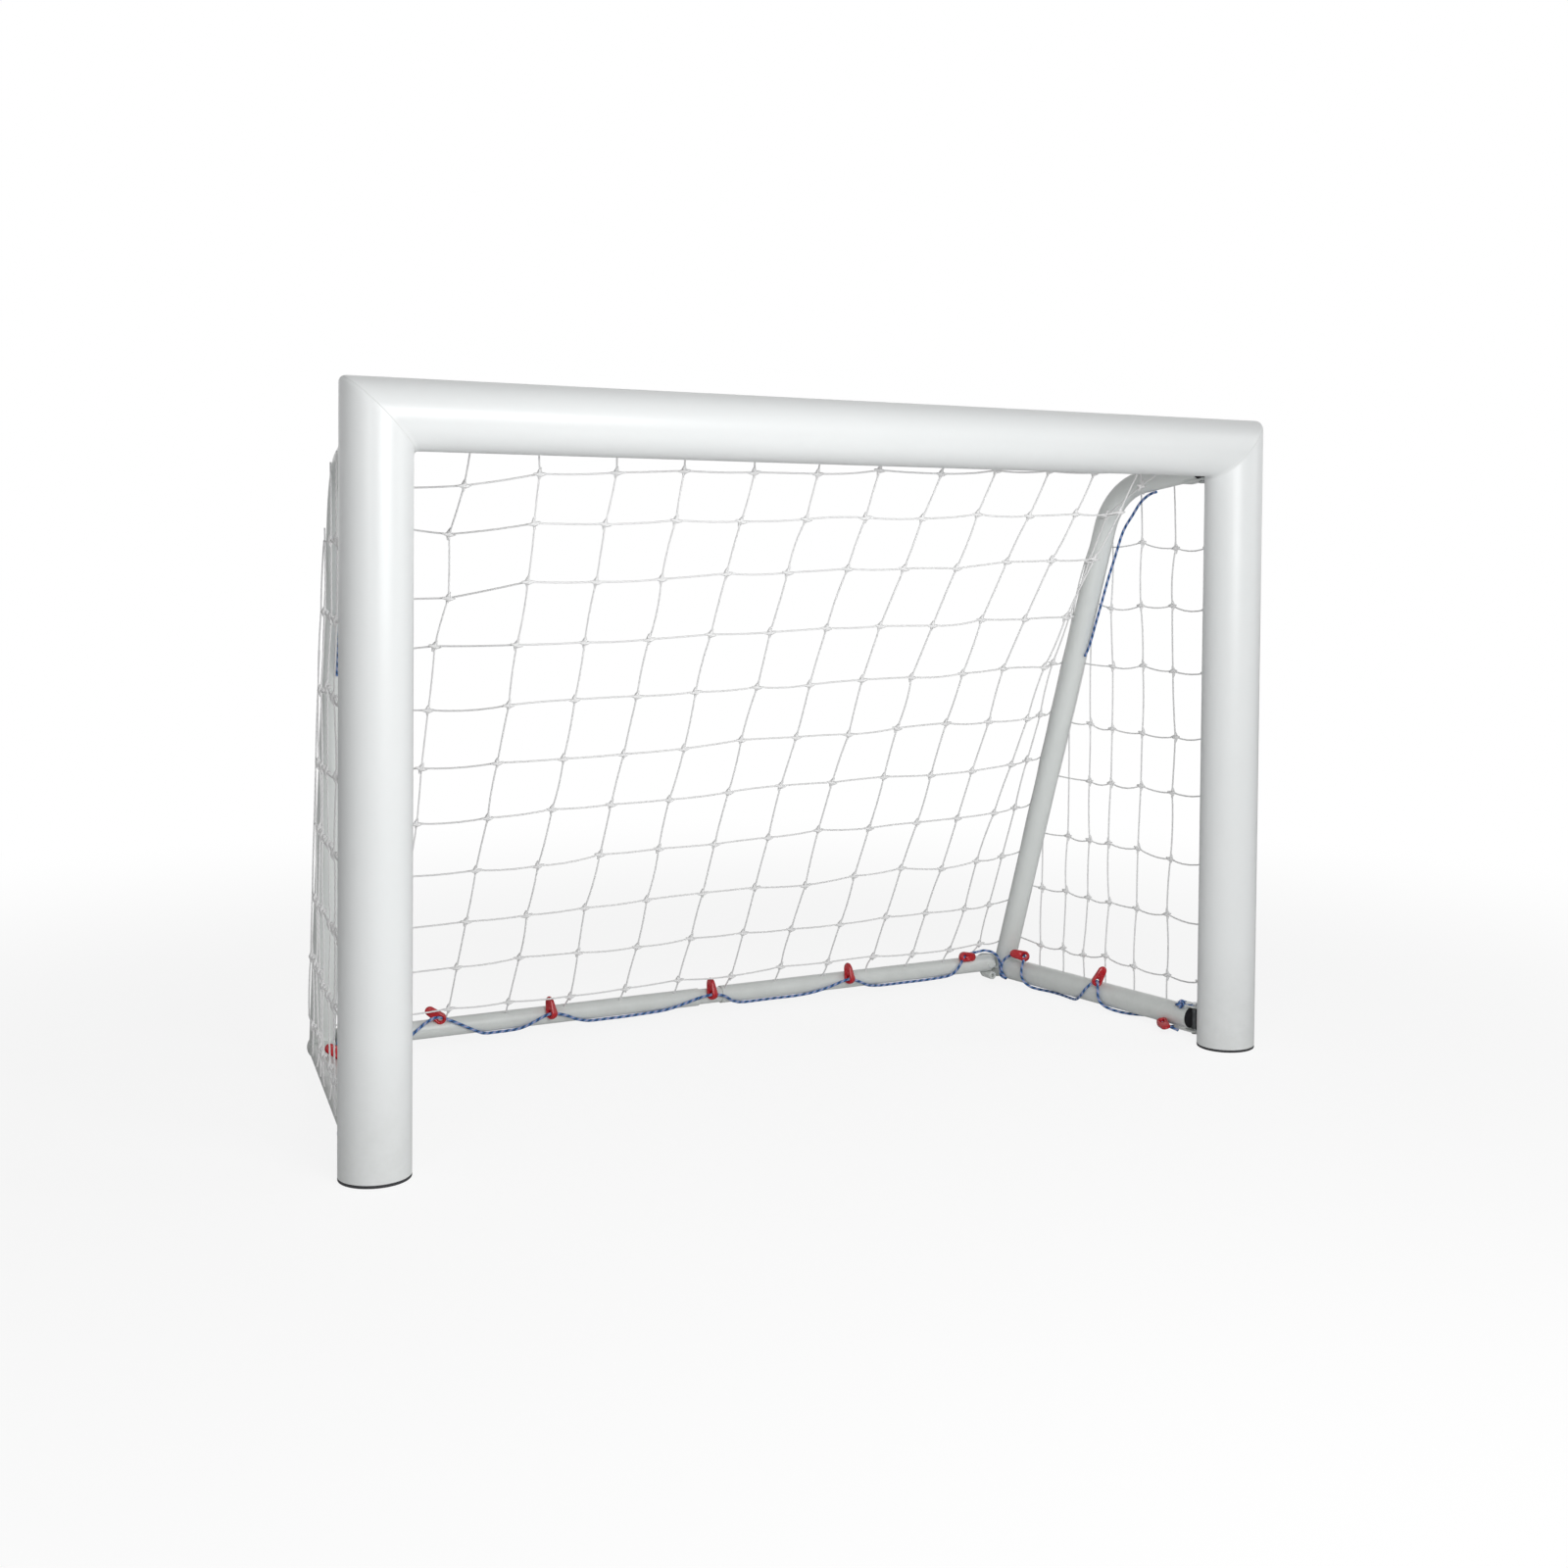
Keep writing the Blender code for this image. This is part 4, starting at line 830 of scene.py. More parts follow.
plate_circles = [
    (REAR_HALF_WIDTH - math.tan(TOE_IN) * BAR_RADIUS, SIDE_BAR_Z, SIDE_RADIUS + PLATE_BORDER),
    (PIVOT_X, BAR_Z, BAR_RADIUS), (PIVOT_X + PEG_OFFSET, PEG_Z, PEG_RADIUS),
]
LEVELS = (("lower", SIDE_BAR_Z, 0.0), ("upper", ARM_Z, ARM_FALL))
for label, sign in SIDES.items():
    body, out = "side_" + label, out_way(sign)
    for level, z, fall in LEVELS:
        way = side_way(sign) * math.cos(fall) - UP * math.sin(fall)
        up = np.cross(out, way) * sign
        axis = place(sign * HALF_SPACING, HINGE_BACK, z)
        for end, seat in (("top", EAR_SEAT), ("bottom", -EAR_SEAT - EAR_THICKNESS)):
            ear = "_".join((level, end, label))
            plate(
                "hinge_ear_" + ear, ear_circles, (0, 0, PIN_RADIUS + EAR_HOLE_PLAY), EAR_THICKNESS,
                axis + up * seat, way, out, up, GREY_COAT, body,
            )
            turn = np.linspace(-1, 1, EAR_WELD_STEPS)
            across = EAR_WELD_HALF * np.clip(turn / END_BEAD_SHARE, -1, 1)
            down_side = np.clip((abs(turn) - END_BEAD_SHARE) / (1 - END_BEAD_SHARE), 0, 1)
            run = EAR_REACH + EAR_WELD_OUT - EAR_WELD_RUN * down_side
            rise = np.sqrt(SIDE_RADIUS**2 - across**2) * np.sign(seat)
            path = axis + run[:, None] * way + across[:, None] * out + rise[:, None] * up
            weld("ear_weld_" + ear, path, up, EAR_BEAD, GREY_COAT, body)
    plate(
        "rear_corner_plate_" + label, plate_circles, (PIVOT_X, BAR_Z, PIN_RADIUS + GAP), PLATE_THICKNESS,
        place(0, PLATE_FRONT, 0), ACROSS * sign, UP, BACK, GREY_COAT, body, slot="grey_powder_coat",
        replaces=("corner_plate_" + label,),
    )
print("pin at", round(PIVOT_X, 4), "m across")

# %% [markdown]
# Each hinge is a short barrel on a web that is welded to the post, with a bolt through it and the
# two ears. The web is a block with soft edges: a superellipsoid, which is an ellipsoid whose sines
# and cosines are raised to a small power, so it nearly fills its box.

# %% Hinges
BARREL_RADIUS, BARREL_HALF, BARREL_BORE, BARREL_CHAMFER = 0.009, 0.0215, 0.0053, 0.0008
WEB_BACK, WEB_HALF_THICKNESS, WEB_HALF_DEPTH = 0.0768, 0.004, 0.0162
WEB_WELD_SIDE, WEB_WELD_BACK, WEB_WELD_STEPS = 0.0046, 0.0612, 40
BLOCK_ROWS, BLOCK_COLUMNS, BLOCK_POWER = 17, 32, 0.22
BOLT_FLATS, BOLT_CORNER, BOLT_RADIUS, NUT_HEIGHT = 0.008, 0.0092, 0.005, 0.004


def block(name, centre, half, material, body):
    """Point = centre + half * (c(p) c(a), c(p) s(a), s(p)), with c and s raised to the power."""
    lift = np.linspace(-np.pi / 2, np.pi / 2, BLOCK_ROWS)[1:-1, None]
    angle = (np.arange(BLOCK_COLUMNS) * 2 * np.pi / BLOCK_COLUMNS)[None]
    waves = np.cos(lift), np.sin(lift), np.cos(angle), np.sin(angle)
    c_lift, s_lift, c_angle, s_angle = (np.sign(wave) * np.abs(wave) ** BLOCK_POWER for wave in waves)
    shape = np.stack(np.broadcast_arrays(c_lift * c_angle, c_lift * s_angle, s_lift), -1)
    skin(name, (centre + shape * half)[None], material, body)


h, r, c = BARREL_HALF, BARREL_RADIUS, BARREL_CHAMFER
barrel_profile = [
    (0, BARREL_BORE), (0, r - c), (c, r), (2 * h - c, r), (2 * h, r - c), (2 * h, BARREL_BORE),
]


def hex_bolt(name, axis, seat, **marks):
    """Each row is a distance up, a radius, and 1 where it is cut to six flats: nut, shank, head."""
    nut, top = NUT_HEIGHT, NUT_HEIGHT + 2 * seat
    rows = [
        (0.0007, 0.0002, 0), (0.0007, 0.0044, 0), (0.0002, 0.0049, 0), (0, 0.0052, 0), (0, 0.0076, 1),
        (0.0009, BOLT_CORNER, 1), (nut, BOLT_CORNER, 1), (nut, BOLT_RADIUS, 0), (top, BOLT_RADIUS, 0),
        (top, BOLT_CORNER, 1), (top + 0.0038, BOLT_CORNER, 1), (top + 0.005, 0.0074, 1),
        (top + 0.005, 0.0002, 0),
    ]
    turned(
        name, axis - UP * (seat + nut), UP, [row[:2] for row in rows], ZINC_STEEL, "front_frame",
        flats=[BOLT_FLATS * row[2] for row in rows], **marks,
    )


for label, sign in SIDES.items():
    x = sign * HALF_SPACING
    for level, z, fall in LEVELS:
        hinge = level + "_" + label
        axis = place(x, HINGE_BACK, z)
        turned(
            "hinge_barrel_" + hinge, axis - UP * h, UP, barrel_profile, DARK_STEEL, "front_frame",
            ring=True, slot="dark_steel", replaces=("hinge_lug_" + hinge,),
        )
        web_half = np.array([WEB_HALF_THICKNESS, WEB_HALF_DEPTH, h])
        block("hinge_web_" + hinge, place(x, WEB_BACK, z), web_half, DARK_STEEL, "front_frame")
        for edge in (-1, 1):
            line = place(x + edge * WEB_WELD_SIDE, WEB_WELD_BACK, z + np.linspace(-h, h, WEB_WELD_STEPS))
            weld("web_weld_%s_%d" % (hinge, edge + 1), line, BACK, WEB_BEAD, WHITE_COAT, "front_frame")
        seat = (EAR_SEAT + EAR_THICKNESS) / math.cos(fall) + BOLT_FLATS * math.tan(fall) + GAP
        hex_bolt("hinge_hex_bolt_" + hinge, axis, seat, slot="zinc_steel", replaces=("hinge_bolt_" + hinge,))
print("hinges", len(LEVELS) * len(SIDES))

# %% [markdown]
# Rubber plugs close the side tubes just inside their front ends, so that no water stands in them.
# The corner pin is a rivet with a domed head that the rear bar turns on, and the peg under it is
# what the bar comes down on.

# %% Plugs, pins and pegs
PLUG_RECESS, HEAD_DOME, PEG_LENGTH = 0.001, 0.003, 0.034
rivet_back = HEAD_DOME + PLATE_FRONT + PLATE_THICKNESS + 2 * GAP - (DEPTH - BAR_RADIUS)
plug_profile = [
    (0.0016, TIP), (0.0013, 0.008), (0.0004, 0.0165), (0, 0.0195), (0.0004, 0.0219), (0.0016, 0.0227),
    (0.018, 0.0227),
]
rivet_profile = [
    (0.0016, TIP), (0.0017, 0.004), (0.0021, 0.0063), (0.0026, 0.0081), (0.0032, 0.009), (0.004, 0.009),
    (0.004, PIN_RADIUS), (rivet_back, PIN_RADIUS), (rivet_back, 0.009), (rivet_back + 0.0012, 0.0087),
    (rivet_back + 0.0024, 0.0068), (rivet_back + HEAD_DOME, TIP),
]
peg_profile = [
    (0, TIP), (0, PEG_RADIUS), *rounded(PEG_LENGTH, PEG_RADIUS, 0.002, True), (PEG_LENGTH, 0.0048),
    (0.0335, 0.0043), (0.024, 0.0040), (0.022, TIP),
]
for label, sign in SIDES.items():
    body, way = "side_" + label, side_way(sign)
    for kind, z, fall in (("arm", ARM_Z, ARM_FALL), ("ground_bar", SIDE_BAR_Z, 0.0)):
        line = way * math.cos(fall) - UP * math.sin(fall)
        mouth = on_side(sign, TUBE_SETBACK, 0, z - math.tan(fall) * TUBE_SETBACK)[0]
        turned(
            "moulded_" + kind + "_plug_" + label, mouth + line * (PLUG_RECESS + SIDE_RADIUS * math.tan(fall)),
            line, plug_profile, BLACK_RUBBER, body, slot="black_rubber", replaces=(kind + "_plug_" + label,),
        )
    turned(
        "corner_rivet_" + label, place(sign * PIVOT_X, DEPTH - BAR_RADIUS - GAP - HEAD_DOME, BAR_Z), BACK,
        rivet_profile, GREY_COAT, body, slot="zinc_steel", replaces=("corner_pin_" + label,),
    )
    turned(
        "rounded_stop_peg_" + label, place(sign * (PIVOT_X + PEG_OFFSET), PLATE_FRONT - GAP, PEG_Z), -BACK,
        peg_profile, GREY_COAT, body, slot="grey_powder_coat", replaces=("stop_peg_" + label,),
    )
print("plugs, rivets and pegs ready")

# %% [markdown]
# The rear bar is thinner tube. Each half ends in a dome over its corner pin, and the two halves
# meet near the middle, where a spigot fixed in the right half plugs into the left one. The measured
# frame keeps the two apart by a short gap, because a closed ring can't be turned. The picture shows
# them plugged in, so the spigot's tip is drawn on into the left half.

# %% Rear bar
SEAM_X, RIGHT_START, SPIGOT_RADIUS = 0.006, 0.060, 0.0165
SPIGOT_LEFT, SPIGOT_RIGHT, SPIGOT_PLUGGED, SPIGOT_FILLET = 0.034, 0.120, 0.048, 0.003
NEAR_ROW, FAR_ROW = 0.2, 0.5
DOME = np.linspace(0, np.pi / 2 - 0.03, 10)[1:]
COLLAR_RADIUS, COLLAR_BEAD, COLLAR_SINK, COLLAR_SIDES = 0.0086, 0.0014, 0.0004, 10
FULL_TURN = np.linspace(0, 2 * np.pi, 73)[:-1]

for label, sign in SIDES.items():
    body = "bar_" + label
    start = SEAM_X if sign < 0 else RIGHT_START
    x = np.array([start, start + sign * NEAR_ROW, sign * FAR_ROW, sign * PIVOT_X])
    rows = open_tube(place(x, DEPTH, BAR_Z), BACK, BAR_RADIUS, BAR_WALL, ACROSS)
    tip = place(sign * (PIVOT_X + BAR_RADIUS * np.sin(DOME)), DEPTH, BAR_Z)
    dome = carry(tip[None], BACK, BAR_RADIUS * np.cos(DOME)[None], TUBE_COLUMNS, way=ACROSS * sign)[0]
    skin(
        "rear_tube_" + label, np.concatenate([rows, dome])[None], GREY_COAT, body,
        slot="grey_powder_coat", replaces=("rear_bar_" + label,),
    )
    across, rise = COLLAR_RADIUS * np.cos(FULL_TURN), COLLAR_RADIUS * np.sin(FULL_TURN)
    front = DEPTH - np.sqrt(BAR_RADIUS**2 - rise**2) - COLLAR_SINK
    ring = place(sign * PIVOT_X + across, front, BAR_Z + rise)[None]
    collar = carry(ring, BACK, COLLAR_BEAD, COLLAR_SIDES, ring=True)
    skin("pin_collar_" + label, collar, GREY_COAT, body, ring=True)
turned(
    "turned_spigot", place(SPIGOT_LEFT, DEPTH, BAR_Z), ACROSS,
    [(0, TIP), (0, SPIGOT_RADIUS), (SPIGOT_RIGHT - SPIGOT_LEFT, SPIGOT_RADIUS)],
    GREY_COAT, "bar_right", slot="grey_powder_coat", replaces=("rear_bar_spigot",),
)
turned(
    "spigot_tip", place(SPIGOT_LEFT, DEPTH, BAR_Z), -ACROSS,
    [(0, TIP), (0, SPIGOT_RADIUS), *rounded(SPIGOT_PLUGGED, SPIGOT_RADIUS, SPIGOT_FILLET, True),
     (SPIGOT_PLUGGED, TIP)], GREY_COAT, "bar_right",
)
print("rear bar halves meet at x =", SEAM_X)

# %% [markdown]
# One lacing cord holds the foot of the net to the bars. It runs in swags: up over each clip, then
# round the inside of the bar to its lower edge. Its route is a list of places along the bar, angles
# up from the inner side, and how far it stands off. A smooth curve goes through them all, and where
# it passes under the ground bars it lies on the floor. The cord is held all the way along, so it
# isn't a free cord.

# %% Cords
CORD_RADIUS = 0.003
CORD_SIDES = 12
CORD_STEPS = 6
CORD_LIE = CORD_RADIUS + 0.001
LIFT, SPIGOT_LIFT = 0.0072, 0.0055
REAR_LEFT_ROUTE = [
    (-0.735, 55, 0.001), (-0.705, -20, 0), (-0.662, -60, 0), (-0.637, -5, 0), (-0.608, 42, 0.004),
    (-0.581, 58, LIFT), (-0.553, 38, 0.002), (-0.508, -20, 0), (-0.468, -75, 0), (-0.425, -66, 0),
    (-0.372, -3, 0.004), (-0.341, 17, LIFT), (-0.308, 0, 0.002), (-0.275, -38, 0), (-0.222, -80, 0),
    (-0.134, -60, 0), (-0.080, -45, 0), (-0.032, -12, 0), (-0.002, 8, 0.001),
]
REAR_RIGHT_ROUTE = [
    (0.031, 17, SPIGOT_LIFT), (0.042, 15, SPIGOT_LIFT), (0.063, 0, 0.003), (0.086, -38, 0), (0.126, -75, 0),
    (0.200, -85, 0), (0.258, -62, 0), (0.316, -22, 0.001), (0.346, 2, 0.004), (0.374, 13, LIFT),
    (0.403, -8, 0.003), (0.436, -48, 0), (0.490, -76, 0), (0.550, -78, 0), (0.608, -62, 0),
    (0.648, -44, 0), (0.669, 8, 0.002), (0.688, 54, LIFT), (0.712, 74, 0.007), (0.732, 80, 0.007),
]
SEAM_ROUTE = [(-0.004, 6, 0.001), (0.008, 12, 0.003), (0.020, 16, SPIGOT_LIFT), (0.034, 17, SPIGOT_LIFT)]
RIGHT_SIDE_ROUTE = [
    (0.686, -45, 0), (0.692, 0, 0.002), (0.686, 36, 0.010), (0.670, 56, 0.0165), (0.650, 66, 0.016),
    (0.632, 74, 0.0144), (0.623, 36, 0.006), (0.618, -25, 0.001), (0.600, -68, 0.001), (0.565, -90, 0.001),
    (0.520, -92, 0.001), (0.480, -78, 0.001), (0.448, -52, 0.001), (0.422, -14, 0.001), (0.402, 26, 0.004),
    (0.3816, 58, LIFT), (0.370, 24, 0.002), (0.361, -30, 0.001), (0.338, -64, 0.001), (0.300, -90, 0.001),
    (0.262, -112, 0.0004), (0.226, -112, 0.0004), (0.202, -92, 0.001), (0.184, -62, 0.006),
    (0.167, -31, LIFT), (0.156, -38, 0.007), (0.143, -50, 0.006), (0.132, -58, 0.006),
]
LEFT_SIDE_ROUTE = [
    (0.686, -45, 0), (0.660, -80, 0), (0.610, -75, 0), (0.572, 0, 0.003), (0.541, 58, LIFT),
    (0.512, 10, 0.002), (0.484, -60, 0), (0.440, -100, 0.001), (0.390, -75, 0),
    (0.350, 10, 0.003), (0.323, 58, LIFT), (0.299, 5, 0.002), (0.280, -60, 0),
    (0.245, -112, 0.0004), (0.222, -112, 0.0004), (0.202, -92, 0.001), (0.184, -62, 0.006),
    (0.167, -31, LIFT), (0.156, -38, 0.007), (0.143, -50, 0.006), (0.132, -58, 0.006),
]
LEG_ROUTE = [
    (0.236, 1.1730), (0.258, 1.1670), (0.284, 1.1500), (0.308, 1.1220), (0.337, 1.0850),
    (0.362, 1.0260), (0.382, 0.9780), (0.400, 0.9290), (0.420, 0.8760), (0.437, 0.8300),
    (0.4535, 0.8000),
]
print("route points", len(REAR_LEFT_ROUTE + REAR_RIGHT_ROUTE + RIGHT_SIDE_ROUTE + LEFT_SIDE_ROUTE))

# %% [markdown]
# Each place on a route is turned into a point: the middle of the bar there, plus the bar's radius,
# the cord's own radius and the lift, in the direction that the angle gives. The curve is drawn
# through the angles and lifts, and not through the points, so it can't cut into the bar.

# %% Laying the cords
def around(centres, inner, angle, reach):
    """Centre + reach * (inner * cos a + up * sin a), and that direction."""
    angle = np.radians(angle)[..., None]
    away = inner * np.cos(angle) + UP * np.sin(angle)
    return centres + np.reshape(reach, (-1, 1)) * away, away


def on_rear_bar(x, angle, reach):
    return around(place(x, DEPTH, BAR_Z), -BACK, np.array(angle, float), reach)


def on_ground_bar(sign, back, angle, reach):
    along = (np.asarray(back) - HINGE_BACK) / math.cos(TOE_IN)
    return around(on_side(sign, along, 0, SIDE_BAR_Z), -out_way(sign), np.atleast_1d(angle), reach)


def lay_cord(name, path, hint, body, **marks):
    """A round cord along a path, and its length."""
    piece = skin(name, carry(path[None], hint, CORD_RADIUS, CORD_SIDES), BLUE_CORD, body, **marks)
    print(name, round(float(np.linalg.norm(np.diff(path, axis=0), axis=-1).sum()), 3), "m")
    return piece


def rear_cord(name, route, body, **marks):
    x, angle, lift = through(route, CORD_STEPS).T
    path, away = on_rear_bar(x, angle, BAR_RADIUS + CORD_LIE + np.maximum(lift, 0))
    lay_cord(name, path, away[None], body, **marks)


def side_cord(name, route, label, lie, **marks):
    back, angle, lift = through(route, CORD_STEPS).T
    path, away = on_ground_bar(SIDES[label], back, angle, SIDE_RADIUS + lie + np.maximum(lift, 0))
    lay_cord(name, path, away[None], "side_" + label, **marks)


for label, route in (("left", REAR_LEFT_ROUTE), ("right", REAR_RIGHT_ROUTE)):
    name, node = "braided_rear_cord_" + label, "rear_cord_" + label
    rear_cord(name, route, "bar_" + label, slot="blue_cord", replaces=(node,))
rear_cord("braided_cord_over_seam", SEAM_ROUTE, "bar_right")
for label, route in (("left", LEFT_SIDE_ROUTE), ("right", RIGHT_SIDE_ROUTE)):
    sign = SIDES[label]
    name, node = "braided_side_cord_" + label, "side_cord_" + label
    side_cord(name, route, label, CORD_LIE, slot="blue_cord", replaces=(node,))
    back, z = through(LEG_ROUTE, CORD_STEPS).T
    path = on_side(sign, (back - HINGE_BACK) / math.cos(TOE_IN), 0, z)
    lay_cord(
        "braided_leg_cord_" + label, path, out_way(sign), "side_" + label, slot="blue_cord",
        replaces=("leg_cord_" + label,),
    )

# %% [markdown]
# At each rear corner the cord runs round from the rear bar to the ground bar, across the pin that
# the rear bar turns on. On the real goal this short stretch gives way when the bar lifts; here it is
# one fixed curve that hangs on no body. Near the hinge the cord is tied off: it goes round the ground
# bar once, to an overhand knot on top with a short end. The knot is a trefoil: x = sin t + 2 sin 2t,
# y = cos t - 2 cos 2t, z = -sin 3t, flattened against the tube.

# %% Cord at the corners and where it is tied off
CORNER_ROUTE = [
    (0.732, 0.7148, 0.0795), (0.750, 0.7080, 0.0830), (0.772, 0.7010, 0.0760), (0.784, 0.6975, 0.0600),
    (0.787, 0.6960, 0.0400), (0.788, 0.6930, 0.0220),
]
HITCH_ROUTE = [
    (0.168, -62, 0.004), (0.160, -100, 0.0004), (0.152, -150, 0), (0.144, -200, 0), (0.138, -250, 0),
    (0.133, -288, 0.002),
]
KNOT_BACK, KNOT_ANGLE, KNOT_SIZE, KNOT_HEIGHT = 0.130, 62.0, 0.0031, 0.9
END_FROM, END_TO, END_TURN, END_STEPS, END_LIFT = 0.004, 0.032, 16.0, 12, 0.0012
HITCH_LIE = CORD_RADIUS + 0.0004


def corner_path(label, sign):
    """From the end of the rear bar's cord, through the points at the corner, to the ground bar's."""
    points = np.array(CORNER_ROUTE) * (sign, 1, 1) + (0, MOUTH_Y, 0)
    if label == "left":
        x, angle, lift = REAR_LEFT_ROUTE[0]
        points[0] = on_rear_bar([x], [angle], BAR_RADIUS + CORD_LIE + lift)[0][0]
    back, angle, lift = RIGHT_SIDE_ROUTE[0]
    end = on_ground_bar(sign, [back], [angle], SIDE_RADIUS + CORD_LIE + lift)[0][0]
    return through([*points, end], CORD_STEPS)


def overhand_knot(sign):
    """Centre + size * ((sin t + 2 sin 2t) along + (cos t - 2 cos 2t) over - height sin 3t away)."""
    centre, away = on_ground_bar(sign, [KNOT_BACK], [KNOT_ANGLE], SIDE_RADIUS + 2 * CORD_RADIUS)
    along, over, t = side_way(sign), unit(np.cross(away[0], side_way(sign))), FULL_TURN[:, None]
    flat = (np.sin(t) + 2 * np.sin(2 * t)) * along + (np.cos(t) - 2 * np.cos(2 * t)) * over
    knot = centre + KNOT_SIZE * (flat - KNOT_HEIGHT * np.sin(3 * t) * away)
    return carry(knot[None], away[0], CORD_RADIUS, CORD_SIDES, ring=True)


for label, sign in SIDES.items():
    body, path = "side_" + label, corner_path(label, sign)
    piece = lay_cord("corner_cord_" + label, path, BACK * 0.9 + ACROSS * 0.4 * sign, None)
    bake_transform(piece)

    side_cord("cord_turn_" + label, HITCH_ROUTE, label, HITCH_LIE)
    skin("cord_knot_" + label, overhand_knot(sign), BLUE_CORD, body, ring=True)
    back = np.linspace(KNOT_BACK - END_FROM, KNOT_BACK - END_TO, END_STEPS)
    angle = np.linspace(KNOT_ANGLE, KNOT_ANGLE + END_TURN, END_STEPS)
    path, away = on_ground_bar(sign, back, angle, SIDE_RADIUS + CORD_RADIUS + END_LIFT)
    lay_cord("cord_end_" + label, path, away[None], body)

# %% [markdown]
# The clips are solid moulded pieces like flat pebbles: an oval about 50 mm long with a hole near
# its thicker end, which the cord goes through. The surface is a ring whose section is nearly an
# ellipse. On its inside the ellipse reaches the hole, and on its outside the oval, so it is narrow
# around the hole and wide in the nose.

# %% The shape of a clip
CLIP_HOLE, CLIP_HUB = 0.0046, 0.0122
CLIP_NOSE, CLIP_NOSE_RADIUS = 0.0265, 0.0098
CLIP_HALF_THICKNESS, CLIP_TAPER = 0.0078, 0.32
CLIP_WIDTH = 0.022
CLIP_STEPS, CLIP_SECTION, CLIP_SQUARENESS = 40, 16, 0.85


def pebble(node, hole, nose, face, body):
    """Section = middle + half the width * cos b, and the face's way * half thickness * sin b.

    The middle lies halfway between the hole and the oval, in each direction round the hole.
    """
    nose = unit(np.asarray(nose, float))
    face = np.asarray(face, float)
    face = unit(face - nose * (face @ nose))
    side = np.cross(face, nose)
    circles = np.array([(0, 0, CLIP_HUB), (CLIP_NOSE, 0, CLIP_NOSE_RADIUS)])
    angle = np.arange(CLIP_STEPS) * 2 * np.pi / CLIP_STEPS
    n = np.stack([np.cos(angle), np.sin(angle)], -1)
    best = circles[np.argmax(n @ circles[:, :2].T + circles[:, 2], axis=1)]
    outer = best[:, :2] + best[:, 2:] * n
    inner = CLIP_HOLE * n
    b = np.arange(CLIP_SECTION) * 2 * np.pi / CLIP_SECTION
    bulge = np.sign(np.cos(b)) * np.abs(np.cos(b)) ** CLIP_SQUARENESS
    flat = (outer + inner)[:, None] / 2 + (outer - inner)[:, None] / 2 * bulge[:, None]
    swell = CLIP_HALF_THICKNESS * (1 - CLIP_TAPER * np.clip(flat[..., 0] / CLIP_NOSE, 0, 1))
    height = swell * np.sin(b)
    points = hole + flat[..., :1] * nose + flat[..., 1:] * side + height[..., None] * face
    skin("red_" + node, points[None], RED_NYLON, body, ring=True, slot="red_plastic", replaces=(node,))


print("clips are", round((CLIP_HUB + CLIP_NOSE + CLIP_NOSE_RADIUS) * 1000, 1), "mm long")

# %% [markdown]
# Clips were pushed on by hand, so no two point the same way. Each row gives where a clip sits and
# how it is turned. The hooks that hold the net's front edge are the same clips, set behind the
# crossbar and the posts.

# %% Clips and hooks
# On the rear bar: place, angle up from the front, radius under it, which way the nose points,
# which way the face looks, and how far the hole is from the middle of the clip: across and up.
REAR_CLIPS = [
    (-0.572, 62, BAR_RADIUS, (-0.72, 0.20, 0.55), (-0.50, -0.85, 0.10), (-0.004, -0.004)),
    (-0.333, 25, BAR_RADIUS, (-0.12, 0.22, 0.95), (-0.93, -0.35, 0.10), (-0.008, -0.004)),
    (0.045, 25, SPIGOT_RADIUS, (-0.06, 0.26, 0.95), (-0.93, -0.35, 0.10), (-0.0144, -0.003)),
    (0.389, 25, BAR_RADIUS, (-0.08, 0.22, 0.95), (-0.93, -0.35, 0.10), (-0.015, -0.005)),
    (0.711, 55, BAR_RADIUS, (0.93, 0.12, -0.12), (-0.15, -0.98, 0.15), (-0.023, 0.0)),
]
# On the ground bars: distance back, angle up from the inner side, and the same, with the hole's
# distance given along the bar, outwards and up.
RIGHT_SIDE_CLIPS = [
    (0.652, 58, (-0.60, 0.75, 0.16), (-0.62, -0.60, 0.50), (-0.020, 0.007, 0.011)),
    (0.393, 58, (0.42, -0.20, 0.88), (-0.30, -0.94, 0.05), (-0.0115, 0.0, 0.0)),
    (0.174, -30, (-0.35, -0.92, -0.10), (-0.30, -0.10, 0.95), (-0.007, 0.0, 0.0)),
]
LEFT_SIDE_CLIPS = [
    (0.548, 58, (-0.80, 0.10, 0.50), (0.10, -0.98, 0.05), (-0.007, 0.0, 0.0)),
    (0.330, 58, (-0.38, -0.20, 0.90), (0.30, -0.94, 0.05), (-0.007, 0.0, 0.0)),
    (0.174, -30, (0.35, -0.92, -0.10), (0.30, -0.10, 0.95), (-0.007, 0.0, 0.0)),
]

for number, (x, angle, radius, nose, face, (across, rise)) in enumerate(REAR_CLIPS, 1):
    centre, _ = on_rear_bar([x], [angle], radius + GAP + CLIP_WIDTH / 2)
    hole = centre[0] + across * ACROSS + rise * UP
    pebble("rear_clip_%d" % number, hole, nose, face, "bar_left" if x < 0 else "bar_right")
for label, clips in (("left", LEFT_SIDE_CLIPS), ("right", RIGHT_SIDE_CLIPS)):
    sign = SIDES[label]
    for number, (back, angle, nose, face, (along, outwards, rise)) in enumerate(clips, 1):
        centre, _ = on_ground_bar(sign, [back], [angle], SIDE_RADIUS + GAP + CLIP_WIDTH / 2)
        hole = centre[0] + along * side_way(sign) + outwards * out_way(sign) + rise * UP
        pebble("side_clip_%s_%d" % (label, number), hole, nose, face, "side_" + label)

